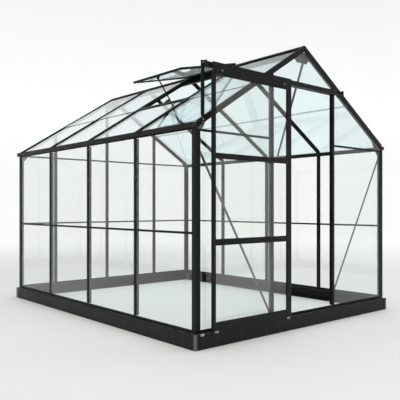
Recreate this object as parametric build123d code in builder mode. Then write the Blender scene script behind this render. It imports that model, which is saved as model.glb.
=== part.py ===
from build123d import *
import os
from math import atan2, cos, degrees, hypot, radians, sin

# A lean-framed glass greenhouse on a steel base, all sizes in millimetres.
# X runs across the door gable, Y from the door gable to the rear, Z up.

# ---- overall sizes -------------------------------------------------------
WIDTH = 1900.0                # over the corner posts, across the gable
LENGTH = 2488.0               # over the corner posts, along the ridge
EAVE = 1287.0                 # roof surface above the outside of the wall
RIDGE = 1896.0                # roof surface at the ridge
LEDGE = 18.0                  # how far the base stands out past the posts
DRIP = 20.0                   # how far the sill's drip edge stands out
DOOR_BACK = 28.0              # gap between the gable and the door
DOOR_THICK = 16.0
DOOR_REACH = DOOR_BACK + DOOR_THICK

# ---- levels --------------------------------------------------------------
BASE_TOP = 88.0
GLASS_FOOT = 98.0
SILL_TOP = 107.0
LAP_LEVEL = 657.0             # joint between the lower and upper wall panes
BAR_HEAD = 1246.0             # top of the wall bars, under the gutter
WALL_GLASS_TOP = 1253.0
GUTTER_FLOOR = 1255.0
GUTTER_BACK = 1278.0          # top of the trough's inner wall
GUTTER_LIP = 1282.0
GABLE_BAR_LEVEL = 1242.0
REAR_BAR_LEVEL = 1259.0
HEADER_FOOT = 1602.0
HEADER_TOP = 1624.0
TRANSOM_FOOT = 1614.0         # foot of the pane above the door header
TRACK_FOOT = 1602.0
TRACK_TOP = 1640.0

# ---- sheet and section sizes ---------------------------------------------
SKIN = 2.0                    # wall of the aluminium sections
STEEL = 1.5                   # wall of the folded base
GLASS = 3.0
GLASS_SET = 4.0               # wall glass behind the outer face
SEAT = GLASS_SET + GLASS      # face the wall glass rests against
ROOF_SEAT = 10.5              # the same on the roof, below the lapped panes
BAR_DEPTH = 30.0
BAR_CAP = 20.0                # outer flange of a glazing bar
BAR_WEB = 2.5
BAR_SEAT = 24.0               # flange that carries the glass
CHANNEL_FLOOR = 22.0          # bolt channel on the inner side of a bar
CHANNEL_WIDE = 16.0
CHANNEL_SLOT = 7.0
POST_FACE = 35.0
RAFTER_DEPTH = 34.0
BASE_DEEP = 27.0              # how far the base channel reaches inward
BASE_LIP = 12.0
JOINT_REACH = 7.0             # half width of a strip between two panes
JOINT_WEB = 1.4
LAP = 6.0                     # half of the overlap of two roof panes

# ---- spacing -------------------------------------------------------------
HALF = WIDTH / 2
SHIFT = (DOOR_REACH - DRIP) / 2
FRONT = SHIFT - LENGTH / 2
REAR = SHIFT + LENGTH / 2
SIDE_BAY = LENGTH / 4
SIDE_BARS = [FRONT + SIDE_BAY * k for k in (1, 2, 3)]
JAMB = 318.0                  # door jambs and gable braces, from the middle
REAR_POSTS = [-610.0, -68.0, 498.0]
RIDGE_HALF = 28.0
RIDGE_FOOT = 1836.0
RIDGE_INSET = 12.0            # the ridge stops behind the mitred rafters
RAFTER_GAP = 0.2              # each mitred rafter stops short of the middle
ROOF_END = 941.0              # where the roof bars meet the gutter wall
ROOF_GLASS_END = 956.0
LAP_X = 522.0                 # where two roof panes overlap
SLOPE = atan2(RIDGE - EAVE, HALF)
RUN = cos(SLOPE)
RISE = sin(SLOPE)

# ---- roof vent -----------------------------------------------------------
VENT_NEAR = SIDE_BARS[0]
VENT_FAR = SIDE_BARS[1]
VENT_MID = (VENT_NEAR + VENT_FAR) / 2
VENT_HALF = 298.0             # half of the vent's width along the ridge
VENT_LONG = 540.0
VENT_DEEP = 12.0
VENT_SIDE = 14.0              # width of the frame's sides
VENT_HEAD = 16.0              # the same at the hinge
VENT_EDGE = 18.0              # the same at the free edge
VENT_DROP = radians(13.0)     # the open vent's fall below level
VENT_HINGE_X = 38.0
VENT_SILL_X = 508.0
HINGE_WIDE = 540.0
STAY_TOP = (-545.0, 1748.4)   # pivot under the vent's free edge
STAY_FOOT = (-362.0, 1500.4)
STAY_WIDE = 14.0
STAY_THICK = 3.0
EYE = 5.0                     # radius of the stay's rolled end
EAR_REACH = 9.0               # outer faces of the pivot's two ears

# ---- sliding door --------------------------------------------------------
DOOR_MID = -523.0             # stands open, to the left of the doorway
DOOR_WIDE = 671.0
DOOR_FOOT = 98.0
PLATE_FOOT = 1569.0           # hanger plate along the top of the door
PLATE_TOP = 1632.0
LEFT_STILE = 22.0
RIGHT_STILE = 40.0            # the closing edge is the broader one
STILE_GROOVE = 12.0           # flanges that hold the glass, inside a stile's hollow box
GROOVE_BACK = 11.0            # rear lip of the glass groove, from the face
GROOVE_DEEP = 9.0
GROOVE_BITE = 6.0             # how far a door pane sits in a rail
GLASS_BITE = 8.0              # the same in a stile
RAIL_SPANS = [(DOOR_FOOT, 146.0), (585.0, 621.0), (1083.0, 1115.0)]
WHEEL_INSET = 52.0
WHEEL_LEVEL = 1626.5
TRACK_LEFT = -887.0
TRACK_RIGHT = 400.0
UPSTAND = 20.0                # the rail edge that the rollers straddle
GUIDE_OUT = 32.0              # the same for the guides below the door
GUIDE_FOOT = 67.0
GUIDE_SHELF = 80.0
GUIDE_TOP = 93.0
CAP_THICK = 4.0

MIDDLE = Plane(origin=(0, SHIFT, 0), z_dir=(0, 1, 0))

os.makedirs("parts", exist_ok=True)


def roof_z(x, depth=0.0):
    """Height of the roof surface at x, or of a line set into it by depth."""
    return RIDGE - abs(x) * RISE / RUN - depth / RUN


def upright(x, y, z, inward):
    """Plane of an upright section, its X running inward from the outer face."""
    return Plane(origin=(x, y, z), x_dir=inward, z_dir=(0, 0, 1))


def along_wall(side, y):
    """Plane across a side wall at y, its X inward from the outer face."""
    return Plane(origin=(side * HALF, y, 0), x_dir=(-side, 0, 0), z_dir=(0, side, 0))


def along_front(x):
    """Plane across the front wall at x, its X inward from the outer face."""
    return Plane(origin=(x, FRONT, 0), x_dir=(0, 1, 0), z_dir=(1, 0, 0))


def before_front(x):
    """Plane across the front wall at x, its X outward from the outer face."""
    return Plane(origin=(x, FRONT, 0), x_dir=(0, -1, 0), z_dir=(-1, 0, 0))


def across(y):
    """Plane seen from the front at y, its X and Y those of the gable."""
    return Plane(origin=(0, y, 0), x_dir=(1, 0, 0), z_dir=(0, -1, 0))


def strip(low_x, low_y, high_x, high_y, mode=Mode.ADD):
    """A rectangle given by two of its corners."""
    with Locations(((low_x + high_x) / 2, (low_y + high_y) / 2)):
        Rectangle(high_x - low_x, high_y - low_y, mode=mode)


def box_outline(low_x, low_z, high_x, high_z):
    """Corner points of an upright rectangle."""
    return [(low_x, low_z), (high_x, low_z), (high_x, high_z), (low_x, high_z)]


def pane(plane, points):
    """A flat outline with straight edges."""
    with BuildSketch(plane) as outline:
        with BuildLine():
            Polyline(*points, close=True)
        make_face()
    return outline.sketch


def glazing_bar(plane, seat=SEAT):
    """Section of a glazing bar: cap, web, glass seat and bolt channel."""
    with BuildSketch(plane) as section:
        strip(0, -BAR_CAP / 2, SKIN, BAR_CAP / 2)
        strip(SKIN, -BAR_WEB / 2, CHANNEL_FLOOR, BAR_WEB / 2)
        strip(seat, -BAR_SEAT / 2, seat + SKIN, BAR_SEAT / 2)
        strip(CHANNEL_FLOOR, -CHANNEL_WIDE / 2, BAR_DEPTH, CHANNEL_WIDE / 2)
        inner = CHANNEL_WIDE / 2 - SKIN
        strip(CHANNEL_FLOOR + SKIN, -inner, BAR_DEPTH - SKIN, inner, Mode.SUBTRACT)
        strip(BAR_DEPTH - SKIN, -CHANNEL_SLOT / 2, BAR_DEPTH, CHANNEL_SLOT / 2, Mode.SUBTRACT)
    return section.sketch


def corner_post(plane):
    """Section of a corner post: outer angle and a hollow glass seat."""
    with BuildSketch(plane) as section:
        strip(0, 0, POST_FACE, SKIN)
        strip(0, SKIN, SKIN, POST_FACE)
        strip(SKIN, SKIN, SEAT + 1, SEAT + 1)
        strip(SEAT, SEAT, BAR_DEPTH, BAR_DEPTH)
        hollow = (SEAT + SKIN, BAR_DEPTH - SKIN)
        strip(hollow[0], hollow[0], hollow[1], hollow[1], Mode.SUBTRACT)
    return section.sketch


def sill(plane):
    """Section of a sill: foot flange with a drip edge and a glass trough."""
    with BuildSketch(plane) as section:
        strip(-DRIP, BASE_TOP, 28, BASE_TOP + SKIN)
        strip(-DRIP, BASE_TOP - 8, -LEDGE, BASE_TOP)
        strip(0, BASE_TOP + SKIN, SKIN, SILL_TOP)
        strip(SKIN, GLASS_FOOT - SKIN, SEAT, GLASS_FOOT)
        strip(SEAT, BASE_TOP + SKIN, SEAT + SKIN, SILL_TOP)
    return section.sketch


def gutter(plane):
    """Section of the eave: glass skirt, water trough and turned lip."""
    with BuildSketch(plane) as section:
        strip(0, BAR_HEAD, SKIN, GUTTER_FLOOR)
        strip(SEAT, BAR_HEAD, SEAT + SKIN, GUTTER_FLOOR)
        strip(-22, GUTTER_FLOOR, SEAT + SKIN, GUTTER_FLOOR + SKIN)
        strip(-22, GUTTER_FLOOR + SKIN, -20, GUTTER_LIP)
        strip(-20, GUTTER_LIP - SKIN, -16, GUTTER_LIP)
        strip(SEAT, GUTTER_FLOOR + SKIN, SEAT + SKIN, GUTTER_BACK)
    return section.sketch


def steel_beam(plane):
    """Section of a base beam: a lipped channel open to the inside."""
    with BuildSketch(plane) as section:
        strip(-LEDGE, 0, BASE_DEEP, BASE_TOP)
        strip(STEEL - LEDGE, STEEL, BASE_DEEP - STEEL, BASE_TOP - STEEL, Mode.SUBTRACT)
        strip(BASE_DEEP - STEEL, BASE_LIP, BASE_DEEP, BASE_TOP - BASE_LIP, Mode.SUBTRACT)
    return section.sketch


def joint_strip(plane, level):
    """Section of the strip that joins a lower and an upper pane."""
    face = GLASS_SET - 0.3
    back = SEAT + 0.3
    wall = 1.3
    with BuildSketch(plane) as section:
        strip(face - wall, level - JOINT_REACH, face, level + JOINT_REACH)
        strip(face, level - JOINT_WEB / 2, back, level + JOINT_WEB / 2)
        strip(back, level - JOINT_REACH, back + wall, level + JOINT_REACH)
    return section.sketch


def save(builder, name):
    """Label a finished piece and write it to its own file."""
    builder.part.label = name
    export_step(builder.part, f"parts/{name}.step")


# ==== base ================================================================
with BuildPart() as base_side_beams:
    extrude(steel_beam(along_wall(-1, REAR + LEDGE)), amount=LENGTH + 2 * LEDGE)
    split(bisect_by=Plane(origin=(-HALF, FRONT, 0), z_dir=(-1, 1, 0)), keep=Keep.TOP)
    split(bisect_by=Plane(origin=(-HALF, REAR, 0), z_dir=(-1, -1, 0)), keep=Keep.TOP)
    mirror(about=Plane.YZ)
save(base_side_beams, "base_side_beams")

with BuildPart() as base_gable_beams:
    extrude(steel_beam(along_front(-HALF - LEDGE)), amount=WIDTH + 2 * LEDGE)
    split(bisect_by=Plane(origin=(-HALF, FRONT, 0), z_dir=(1, -1, 0)), keep=Keep.TOP)
    split(bisect_by=Plane(origin=(HALF, FRONT, 0), z_dir=(-1, -1, 0)), keep=Keep.TOP)
    mirror(about=MIDDLE)
save(base_gable_beams, "base_gable_beams")

PLATE_WIDE = 26.0
PLATE_INSET = 3.0
with BuildPart() as base_corner_plates:
    with BuildSketch(Plane(origin=(-HALF - LEDGE, FRONT - LEDGE, PLATE_INSET))):
        strip(-STEEL, -STEEL, PLATE_WIDE, 0)
        strip(-STEEL, 0, 0, PLATE_WIDE)
    extrude(amount=BASE_TOP - PLATE_INSET - STEEL)
    mirror(about=Plane.YZ)
    mirror(about=MIDDLE)
save(base_corner_plates, "base_corner_plates")

# ==== sills, posts and wall bars ==========================================
with BuildPart() as side_sills:
    extrude(sill(along_wall(-1, REAR - POST_FACE)), amount=LENGTH - 2 * POST_FACE)
    mirror(about=Plane.YZ)
save(side_sills, "side_sills")

with BuildPart() as gable_sills:
    extrude(sill(along_front(POST_FACE - HALF)), amount=WIDTH - 2 * POST_FACE)
    mirror(about=MIDDLE)
save(gable_sills, "gable_sills")

with BuildPart() as corner_posts:
    extrude(corner_post(Plane(origin=(-HALF, FRONT, BASE_TOP))), amount=BAR_HEAD - BASE_TOP)
    mirror(about=Plane.YZ)
    mirror(about=MIDDLE)
save(corner_posts, "corner_posts")

with BuildPart() as left_wall_bars:
    for y in SIDE_BARS:
        extrude(glazing_bar(upright(-HALF, y, SILL_TOP, (1, 0, 0))), amount=BAR_HEAD - SILL_TOP)
save(left_wall_bars, "left_wall_bars")

with BuildPart() as right_wall_bars:
    for y in SIDE_BARS:
        extrude(glazing_bar(upright(HALF, y, SILL_TOP, (-1, 0, 0))), amount=BAR_HEAD - SILL_TOP)
save(right_wall_bars, "right_wall_bars")

# the uprights of both gables are cut off along the underside of the rafters
under_rafter = (0, 0, roof_z(0, RAFTER_DEPTH))
left_cut = Plane(origin=under_rafter, z_dir=(RISE, 0, -RUN))
right_cut = Plane(origin=under_rafter, z_dir=(-RISE, 0, -RUN))

with BuildPart() as door_jambs:
    extrude(glazing_bar(upright(-JAMB, FRONT, SILL_TOP, (0, 1, 0))), amount=RIDGE - SILL_TOP)
    split(bisect_by=left_cut, keep=Keep.TOP)
    mirror(about=Plane.YZ)
save(door_jambs, "door_jambs")

with BuildPart() as rear_gable_posts:
    for x in REAR_POSTS:
        extrude(glazing_bar(upright(x, REAR, SILL_TOP, (0, -1, 0))), amount=RIDGE - SILL_TOP)
    split(bisect_by=left_cut, keep=Keep.TOP)
    split(bisect_by=right_cut, keep=Keep.TOP)
save(rear_gable_posts, "rear_gable_posts")

header_end = JAMB - BAR_SEAT / 2
with BuildPart() as door_header:
    with BuildSketch(along_front(-header_end)):
        strip(0, HEADER_FOOT, SKIN, HEADER_TOP)
        strip(SKIN, HEADER_FOOT, 24, HEADER_FOOT + SKIN)
        strip(SKIN, TRANSOM_FOOT - SKIN, SEAT, TRANSOM_FOOT)
        strip(SEAT, TRANSOM_FOOT - SKIN, SEAT + SKIN, HEADER_TOP)
    extrude(amount=2 * header_end)
save(door_header, "door_header")

# ==== eaves, ridge and roof bars ==========================================
GUTTER_CAP = 2.0
with BuildPart() as left_gutter:
    extrude(gutter(along_wall(-1, REAR - GUTTER_CAP)), amount=LENGTH - 2 * GUTTER_CAP)
save(left_gutter, "left_gutter")

with BuildPart() as right_gutter:
    add(left_gutter.part)
    mirror(about=Plane.YZ, mode=Mode.REPLACE)
save(right_gutter, "right_gutter")

with BuildPart() as ridge_beam:
    with BuildSketch(across(REAR - RIDGE_INSET)):
        for side in (1, -1):
            for top in (0.0, ROOF_SEAT):
                with BuildLine():
                    Polyline((0, roof_z(0, top)), (side * RIDGE_HALF, roof_z(RIDGE_HALF, top)),
                             (side * RIDGE_HALF, roof_z(RIDGE_HALF, top + SKIN)),
                             (0, roof_z(0, top + SKIN)), close=True)
                make_face()
        strip(-1.5, RIDGE_FOOT, 1.5, roof_z(0, 1))
        strip(-12, RIDGE_FOOT, 12, RIDGE_FOOT + SKIN)
        for side in (1, -1):
            strip(side * 11 - 1, RIDGE_FOOT + SKIN, side * 11 + 1, RIDGE_FOOT + 9)
    extrude(amount=LENGTH - 2 * RIDGE_INSET)
save(ridge_beam, "ridge_beam")

RAFTER_START = 40.0           # a little past the ridge, so the mitre is whole
with BuildPart() as front_rafters:
    start = (RAFTER_START * RUN, FRONT, RIDGE + RAFTER_START * RISE)
    with BuildSketch(Plane(origin=start, x_dir=(RISE, 0, -RUN), z_dir=(RUN, 0, RISE))):
        strip(0, 0, SKIN, 16)
        strip(SKIN, 0, RAFTER_DEPTH, SKIN)
        strip(ROOF_SEAT, SKIN, ROOF_SEAT + SKIN, CHANNEL_FLOOR)
        strip(ROOF_SEAT + SKIN, SEAT, RAFTER_DEPTH, SEAT + SKIN)
        strip(20, SEAT + SKIN, RAFTER_DEPTH, BAR_DEPTH)
        strip(22, SEAT + SKIN, RAFTER_DEPTH - SKIN, BAR_DEPTH - SKIN, Mode.SUBTRACT)
        strip(24.5, BAR_DEPTH - SKIN, 29.5, BAR_DEPTH, Mode.SUBTRACT)
    extrude(amount=-1340)
    split(bisect_by=Plane(origin=(-ROOF_END, 0, 0), z_dir=(1, 0, 0)), keep=Keep.TOP)
    split(bisect_by=Plane(origin=(-RAFTER_GAP, 0, 0), z_dir=(-1, 0, 0)), keep=Keep.TOP)
    with Locations((-RIDGE_HALF, FRONT + RIDGE_INSET, 1800)):
        Box(RIDGE_HALF + 2, 40, 200, align=(Align.MIN, Align.MIN, Align.MIN), mode=Mode.SUBTRACT)
    mirror(about=Plane.YZ)
save(front_rafters, "front_rafters")

with BuildPart() as rear_rafters:
    add(front_rafters.part)
    mirror(about=MIDDLE, mode=Mode.REPLACE)
save(rear_rafters, "rear_rafters")

with BuildPart() as left_roof_bars:
    for y in SIDE_BARS:
        slope_plane = Plane(origin=(0, y, RIDGE), x_dir=(RISE, 0, -RUN), z_dir=(RUN, 0, RISE))
        extrude(glazing_bar(slope_plane, ROOF_SEAT), amount=-1300)
    split(bisect_by=Plane(origin=(-ROOF_END, 0, 0), z_dir=(1, 0, 0)), keep=Keep.TOP)
    split(bisect_by=Plane(origin=(-RIDGE_HALF, 0, 0), z_dir=(-1, 0, 0)), keep=Keep.TOP)
save(left_roof_bars, "left_roof_bars")

with BuildPart() as right_roof_bars:
    add(left_roof_bars.part)
    mirror(about=Plane.YZ, mode=Mode.REPLACE)
save(right_roof_bars, "right_roof_bars")

# ==== strips that join the panes ==========================================
EDGE = 18.0                   # where the outermost strips end, from a corner
STRIP_INSET = 14.0            # a strip stops clear of the bars beside it

side_edges = [FRONT + EDGE] + SIDE_BARS + [REAR - EDGE]
with BuildPart() as wall_joint_strips:
    for near, far in zip(side_edges, side_edges[1:]):
        extrude(joint_strip(along_wall(-1, far - STRIP_INSET), LAP_LEVEL),
                amount=far - near - 2 * STRIP_INSET)
    mirror(about=Plane.YZ)
save(wall_joint_strips, "wall_joint_strips")

rear_edges = [EDGE - HALF] + REAR_POSTS + [HALF - EDGE]
with BuildPart() as gable_joint_strips:
    extrude(joint_strip(along_front(POST_FACE - HALF), GABLE_BAR_LEVEL),
            amount=HALF - POST_FACE - JAMB - STRIP_INSET)
    mirror(about=Plane.YZ)
    for near, far in zip(rear_edges, rear_edges[1:]):
        for level in (LAP_LEVEL, REAR_BAR_LEVEL):
            plane = Plane(origin=(far - STRIP_INSET, REAR, 0), x_dir=(0, -1, 0), z_dir=(-1, 0, 0))
            extrude(joint_strip(plane, level), amount=far - near - 2 * STRIP_INSET)
save(gable_joint_strips, "gable_joint_strips")

# ==== braces and gussets ==================================================
BRACE_WIDE = 16.0
inner_face = BAR_DEPTH + SKIN


def flat_bar(start, stop):
    """A flat bar with round ends between two points of the sketch."""
    run = hypot(stop[0] - start[0], stop[1] - start[1])
    turn = degrees(atan2(stop[1] - start[1], stop[0] - start[0]))
    with Locations(((start[0] + stop[0]) / 2, (start[1] + stop[1]) / 2)):
        SlotCenterToCenter(run, BRACE_WIDE, rotation=turn)


with BuildPart() as gable_braces:
    with BuildSketch(across(FRONT + inner_face)):
        flat_bar((18 - HALF, 1187.0), (-JAMB, 132.0))
    extrude(amount=SKIN)
    mirror(about=Plane.YZ)
save(gable_braces, "gable_braces")

# the long brace lies under the right slope, from the front apex to the eave
with BuildPart() as roof_brace:
    under_bars = Plane(origin=(0, 0, roof_z(0, BAR_DEPTH)), x_dir=(RUN, 0, -RISE), z_dir=(RISE, 0, RUN))
    with BuildSketch(under_bars):
        flat_bar((60 / RUN, FRONT + 60), (925 / RUN, FRONT + 1098))
    extrude(amount=-SKIN)
save(roof_brace, "roof_brace")

with BuildPart() as apex_gussets:
    extrude(pane(across(FRONT + inner_face),
                 [(-75, roof_z(75, 18)), (-32, roof_z(32, 18)), (-14, RIDGE_FOOT - 0.5),
                  (14, RIDGE_FOOT - 0.5), (32, roof_z(32, 18)), (75, roof_z(75, 18)),
                  (75, roof_z(75, RAFTER_DEPTH)), (50, 1781), (-50, 1781),
                  (-75, roof_z(75, RAFTER_DEPTH))]), amount=SKIN)
    mirror(about=MIDDLE)
save(apex_gussets, "apex_gussets")

with BuildPart() as eave_gussets:
    extrude(pane(across(FRONT + inner_face),
                 [(12 - HALF, 1205), (28 - HALF, 1205), (76 - HALF, 1261),
                  (104 - HALF, roof_z(HALF - 104, 35)), (104 - HALF, roof_z(HALF - 104, 18)),
                  (12 - HALF, roof_z(HALF - 12, 18))]), amount=SKIN)
    mirror(about=Plane.YZ)
    mirror(about=MIDDLE)
save(eave_gussets, "eave_gussets")

# ==== glass ===============================================================
PANE_GAP = 4.0                # a pane stops short of the web of a bar
GABLE_TUCK = 14.0             # gable glass below the roof surface
half_web = JOINT_WEB / 2
wall_lights = [(GLASS_FOOT, LAP_LEVEL - half_web), (LAP_LEVEL + half_web, WALL_GLASS_TOP)]
wall_edges = [FRONT + 6] + SIDE_BARS + [REAR - 6]
with BuildPart() as left_wall_glass:
    inside = Plane(origin=(GLASS_SET - HALF, 0, 0), x_dir=(0, 1, 0), z_dir=(1, 0, 0))
    for near, far in zip(wall_edges, wall_edges[1:]):
        for foot, head in wall_lights:
            extrude(pane(inside, box_outline(near + PANE_GAP, foot, far - PANE_GAP, head)), amount=GLASS)
save(left_wall_glass, "left_wall_glass")

with BuildPart() as right_wall_glass:
    add(left_wall_glass.part)
    mirror(about=Plane.YZ, mode=Mode.REPLACE)
save(right_wall_glass, "right_wall_glass")

with BuildPart() as front_gable_glass:
    plane = across(FRONT + SEAT)
    inner = JAMB + PANE_GAP
    low = GABLE_BAR_LEVEL + half_web
    tip = 930.0
    extrude(pane(plane, box_outline(10 - HALF, GLASS_FOOT, -inner, GABLE_BAR_LEVEL - half_web)),
            amount=GLASS)
    extrude(pane(plane, [(-tip, low), (-inner, low), (-inner, roof_z(inner, GABLE_TUCK)),
                         (-tip, roof_z(tip, GABLE_TUCK))]), amount=GLASS)
    mirror(about=Plane.YZ)
    transom = JAMB - PANE_GAP
    extrude(pane(plane, [(-transom, TRANSOM_FOOT), (transom, TRANSOM_FOOT),
                         (transom, roof_z(transom, GABLE_TUCK)), (0, roof_z(0, GABLE_TUCK)),
                         (-transom, roof_z(transom, GABLE_TUCK))]), amount=GLASS)
save(front_gable_glass, "front_gable_glass")

EAVE_TIP = 905.0              # the upper rear panes stop at the eave gussets
with BuildPart() as rear_gable_glass:
    plane = across(REAR - GLASS_SET)
    rear_ends = [6 - HALF] + REAR_POSTS + [HALF - 6]
    for near, far in zip(rear_ends, rear_ends[1:]):
        left, right = near + PANE_GAP, far - PANE_GAP
        extrude(pane(plane, box_outline(left, GLASS_FOOT, right, LAP_LEVEL - half_web)), amount=GLASS)
        extrude(pane(plane, box_outline(left, LAP_LEVEL + half_web, right, REAR_BAR_LEVEL - half_web)),
                amount=GLASS)
        left, right = max(left, -EAVE_TIP), min(right, EAVE_TIP)
        foot = REAR_BAR_LEVEL + half_web
        extrude(pane(plane, [(left, foot), (right, foot), (right, roof_z(right, GABLE_TUCK)),
                             (left, roof_z(left, GABLE_TUCK))]), amount=GLASS)
save(rear_gable_glass, "rear_gable_glass")

ROOF_GLASS_SET = ROOF_SEAT - GLASS
UPPER_LIFT = ROOF_GLASS_SET - GLASS - 0.5      # the upper pane rises over the lower one
roof_edges = [FRONT - 1] + SIDE_BARS + [REAR + 1]


def roof_light(y, top_x, top_depth, low_x, low_depth):
    """Section of a roof pane of the left slope, drawn at its far edge."""
    return pane(across(y), [(-top_x, roof_z(top_x, top_depth)), (-low_x, roof_z(low_x, low_depth)),
                            (-low_x, roof_z(low_x, low_depth + GLASS)),
                            (-top_x, roof_z(top_x, top_depth + GLASS))])


def upper_light(near, far):
    """An upper roof pane between two bars."""
    extrude(roof_light(far - PANE_GAP, 9, ROOF_GLASS_SET, LAP_X + LAP, UPPER_LIFT),
            amount=far - near - 2 * PANE_GAP)


def lower_light(near, far, top):
    """A lower roof pane between two bars, from top down to the gutter."""
    extrude(roof_light(far - PANE_GAP, top, ROOF_GLASS_SET, ROOF_GLASS_END, ROOF_GLASS_SET),
            amount=far - near - 2 * PANE_GAP)


# the left slope has no upper pane under the roof vent
with BuildPart() as left_roof_glass:
    for near, far in zip(roof_edges, roof_edges[1:]):
        if near == VENT_NEAR:
            lower_light(near, far, VENT_SILL_X + 7)
        else:
            upper_light(near, far)
            lower_light(near, far, LAP_X - LAP)
save(left_roof_glass, "left_roof_glass")

with BuildPart() as right_roof_glass:
    for near, far in zip(roof_edges, roof_edges[1:]):
        upper_light(near, far)
        lower_light(near, far, LAP_X - LAP)
    mirror(about=Plane.YZ, mode=Mode.REPLACE)
save(right_roof_glass, "right_roof_glass")

# ==== roof vent ===========================================================
# The vent is drawn on its own plane: X down its slope from the hinge, Y along
# the ridge, Z out of its face.
HINGE_Z = roof_z(VENT_HINGE_X) + 6
VENT_REBATE = 5.0             # depth at which the vent's glass lies
vent_plane = Plane(origin=(-VENT_HINGE_X, VENT_MID, HINGE_Z),
                   x_dir=(-cos(VENT_DROP), 0, -sin(VENT_DROP)),
                   z_dir=(-sin(VENT_DROP), 0, cos(VENT_DROP)))


def vent_point(reach, lift):
    """Gable X and Z of a point that far down the vent and that far off it."""
    return (-VENT_HINGE_X - reach * cos(VENT_DROP) - lift * sin(VENT_DROP),
            HINGE_Z - reach * sin(VENT_DROP) + lift * cos(VENT_DROP))


with BuildPart() as vent_frame:
    with BuildSketch(vent_plane):
        strip(0, -VENT_HALF, VENT_LONG, VENT_HALF)
        strip(VENT_HEAD, VENT_SIDE - VENT_HALF, VENT_LONG - VENT_EDGE, VENT_HALF - VENT_SIDE,
              Mode.SUBTRACT)
    extrude(amount=VENT_DEEP)
    with BuildSketch(vent_plane.offset(VENT_REBATE)):
        strip(8, SKIN - VENT_HALF, VENT_LONG - 4, VENT_HALF - SKIN)
    extrude(amount=VENT_DEEP - VENT_REBATE, mode=Mode.SUBTRACT)
save(vent_frame, "vent_frame")

with BuildPart() as vent_glass:
    with BuildSketch(vent_plane.offset(VENT_REBATE)):
        strip(9, 3 - VENT_HALF, VENT_LONG - 5, VENT_HALF - 3)
    extrude(amount=GLASS)
save(vent_glass, "vent_glass")

with BuildPart() as vent_hinge:
    knuckle = VENT_HINGE_X - 5
    extrude(pane(across(VENT_MID + HINGE_WIDE / 2), [
        (-12, roof_z(12)), (-VENT_HINGE_X, roof_z(VENT_HINGE_X)), (-VENT_HINGE_X, HINGE_Z),
        (-knuckle, roof_z(knuckle) + 6), (-knuckle, roof_z(knuckle) + 2), (-12, roof_z(12) + 2)]),
        amount=HINGE_WIDE)
save(vent_hinge, "vent_hinge")

# an arm from the middle of the vent sill carries the peg the stay rests on
with BuildPart() as vent_sill:
    upper, lower = VENT_SILL_X - 5, VENT_SILL_X + 5
    foot = VENT_SILL_X + 14
    extrude(pane(across(VENT_FAR - 12), [
        (-upper, roof_z(upper, 1)), (-foot, roof_z(foot, 1)), (-foot, roof_z(foot, 7)),
        (-lower, roof_z(lower, 7)), (-lower, roof_z(lower, 18)), (-upper, roof_z(upper, 18))]),
        amount=VENT_FAR - VENT_NEAR - 24)
    extrude(pane(across(VENT_MID + 10), [
        (-upper, roof_z(upper, 6)), (-upper, roof_z(upper, 17)), (-448, 1589.4), (-438, 1599.4),
        (-446, 1609.4), (-456, 1605.4)]), amount=20)
save(vent_sill, "vent_sill")

# the stay: a flat bar with peg holes, its rolled eye pinned between two ears
stay_run = (STAY_FOOT[0] - STAY_TOP[0], STAY_FOOT[1] - STAY_TOP[1])
stay_long = hypot(*stay_run)
stay_turn = atan2(stay_run[1], stay_run[0])
with BuildPart() as vent_stay:
    middle = (STAY_TOP[0] + stay_run[0] / 2, VENT_MID, STAY_TOP[1] + stay_run[1] / 2)
    with BuildSketch(Plane(origin=middle, x_dir=(cos(stay_turn), 0, sin(stay_turn)),
                           z_dir=(-sin(stay_turn), 0, cos(stay_turn)))):
        SlotOverall(stay_long + 2 * EYE, STAY_WIDE)
        with GridLocations(36, 1, 5, 1):
            Circle(3, mode=Mode.SUBTRACT)
    extrude(amount=STAY_THICK)
    with BuildSketch(across(VENT_MID)):
        with Locations(STAY_TOP):
            Circle(EYE)
    extrude(amount=EAR_REACH, both=True)
    with BuildSketch(vent_plane.offset(-SKIN)):
        with Locations((VENT_LONG - 18, 0)):
            RectangleRounded(34, 30, 4)
    extrude(amount=SKIN)
    ear = [vent_point(VENT_LONG - 31, -1), vent_point(VENT_LONG - 5, -1),
           (STAY_TOP[0] - EYE, STAY_TOP[1]), (STAY_TOP[0] + EYE, STAY_TOP[1])]
    for face in (EAR_REACH, SKIN - EAR_REACH):
        extrude(pane(across(VENT_MID + face), ear), amount=SKIN)
save(vent_stay, "vent_stay")

# ==== door track, strut and guide =========================================
with BuildPart() as door_track:
    with BuildSketch(before_front(TRACK_LEFT)):
        strip(0, TRACK_FOOT, SKIN, TRACK_TOP)
        strip(SKIN, TRACK_FOOT, UPSTAND + SKIN, TRACK_FOOT + SKIN)
        strip(UPSTAND, TRACK_FOOT + SKIN, UPSTAND + SKIN, 1618)
    extrude(amount=TRACK_LEFT - TRACK_RIGHT)
save(door_track, "door_track")

with BuildPart() as end_caps:
    extrude(pane(along_wall(-1, FRONT + GUTTER_CAP),
                 [(-22, GUTTER_FLOOR - SKIN), (SEAT, GUTTER_FLOOR - SKIN), (SEAT, GUTTER_BACK),
                  (-8, GUTTER_LIP), (-22, GUTTER_LIP)]), amount=GUTTER_CAP)
    mirror(about=Plane.YZ)
    mirror(about=MIDDLE)
    track_end = box_outline(SKIN, TRACK_FOOT - SKIN, 26, TRACK_TOP)
    extrude(pane(before_front(TRACK_LEFT), track_end), amount=CAP_THICK)
    extrude(pane(before_front(TRACK_RIGHT), track_end), amount=-CAP_THICK)
save(end_caps, "end_caps")

STRUT_WIDE = 18.0
STRUT_FOOT = 1275.0           # it ends on the rafter, beside the eave
with BuildPart() as track_strut:
    with BuildSketch(across(FRONT)):
        strip(TRACK_LEFT - STRUT_WIDE, STRUT_FOOT, TRACK_LEFT, TRACK_TOP)
    extrude(amount=SKIN)
save(track_strut, "track_strut")

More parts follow.
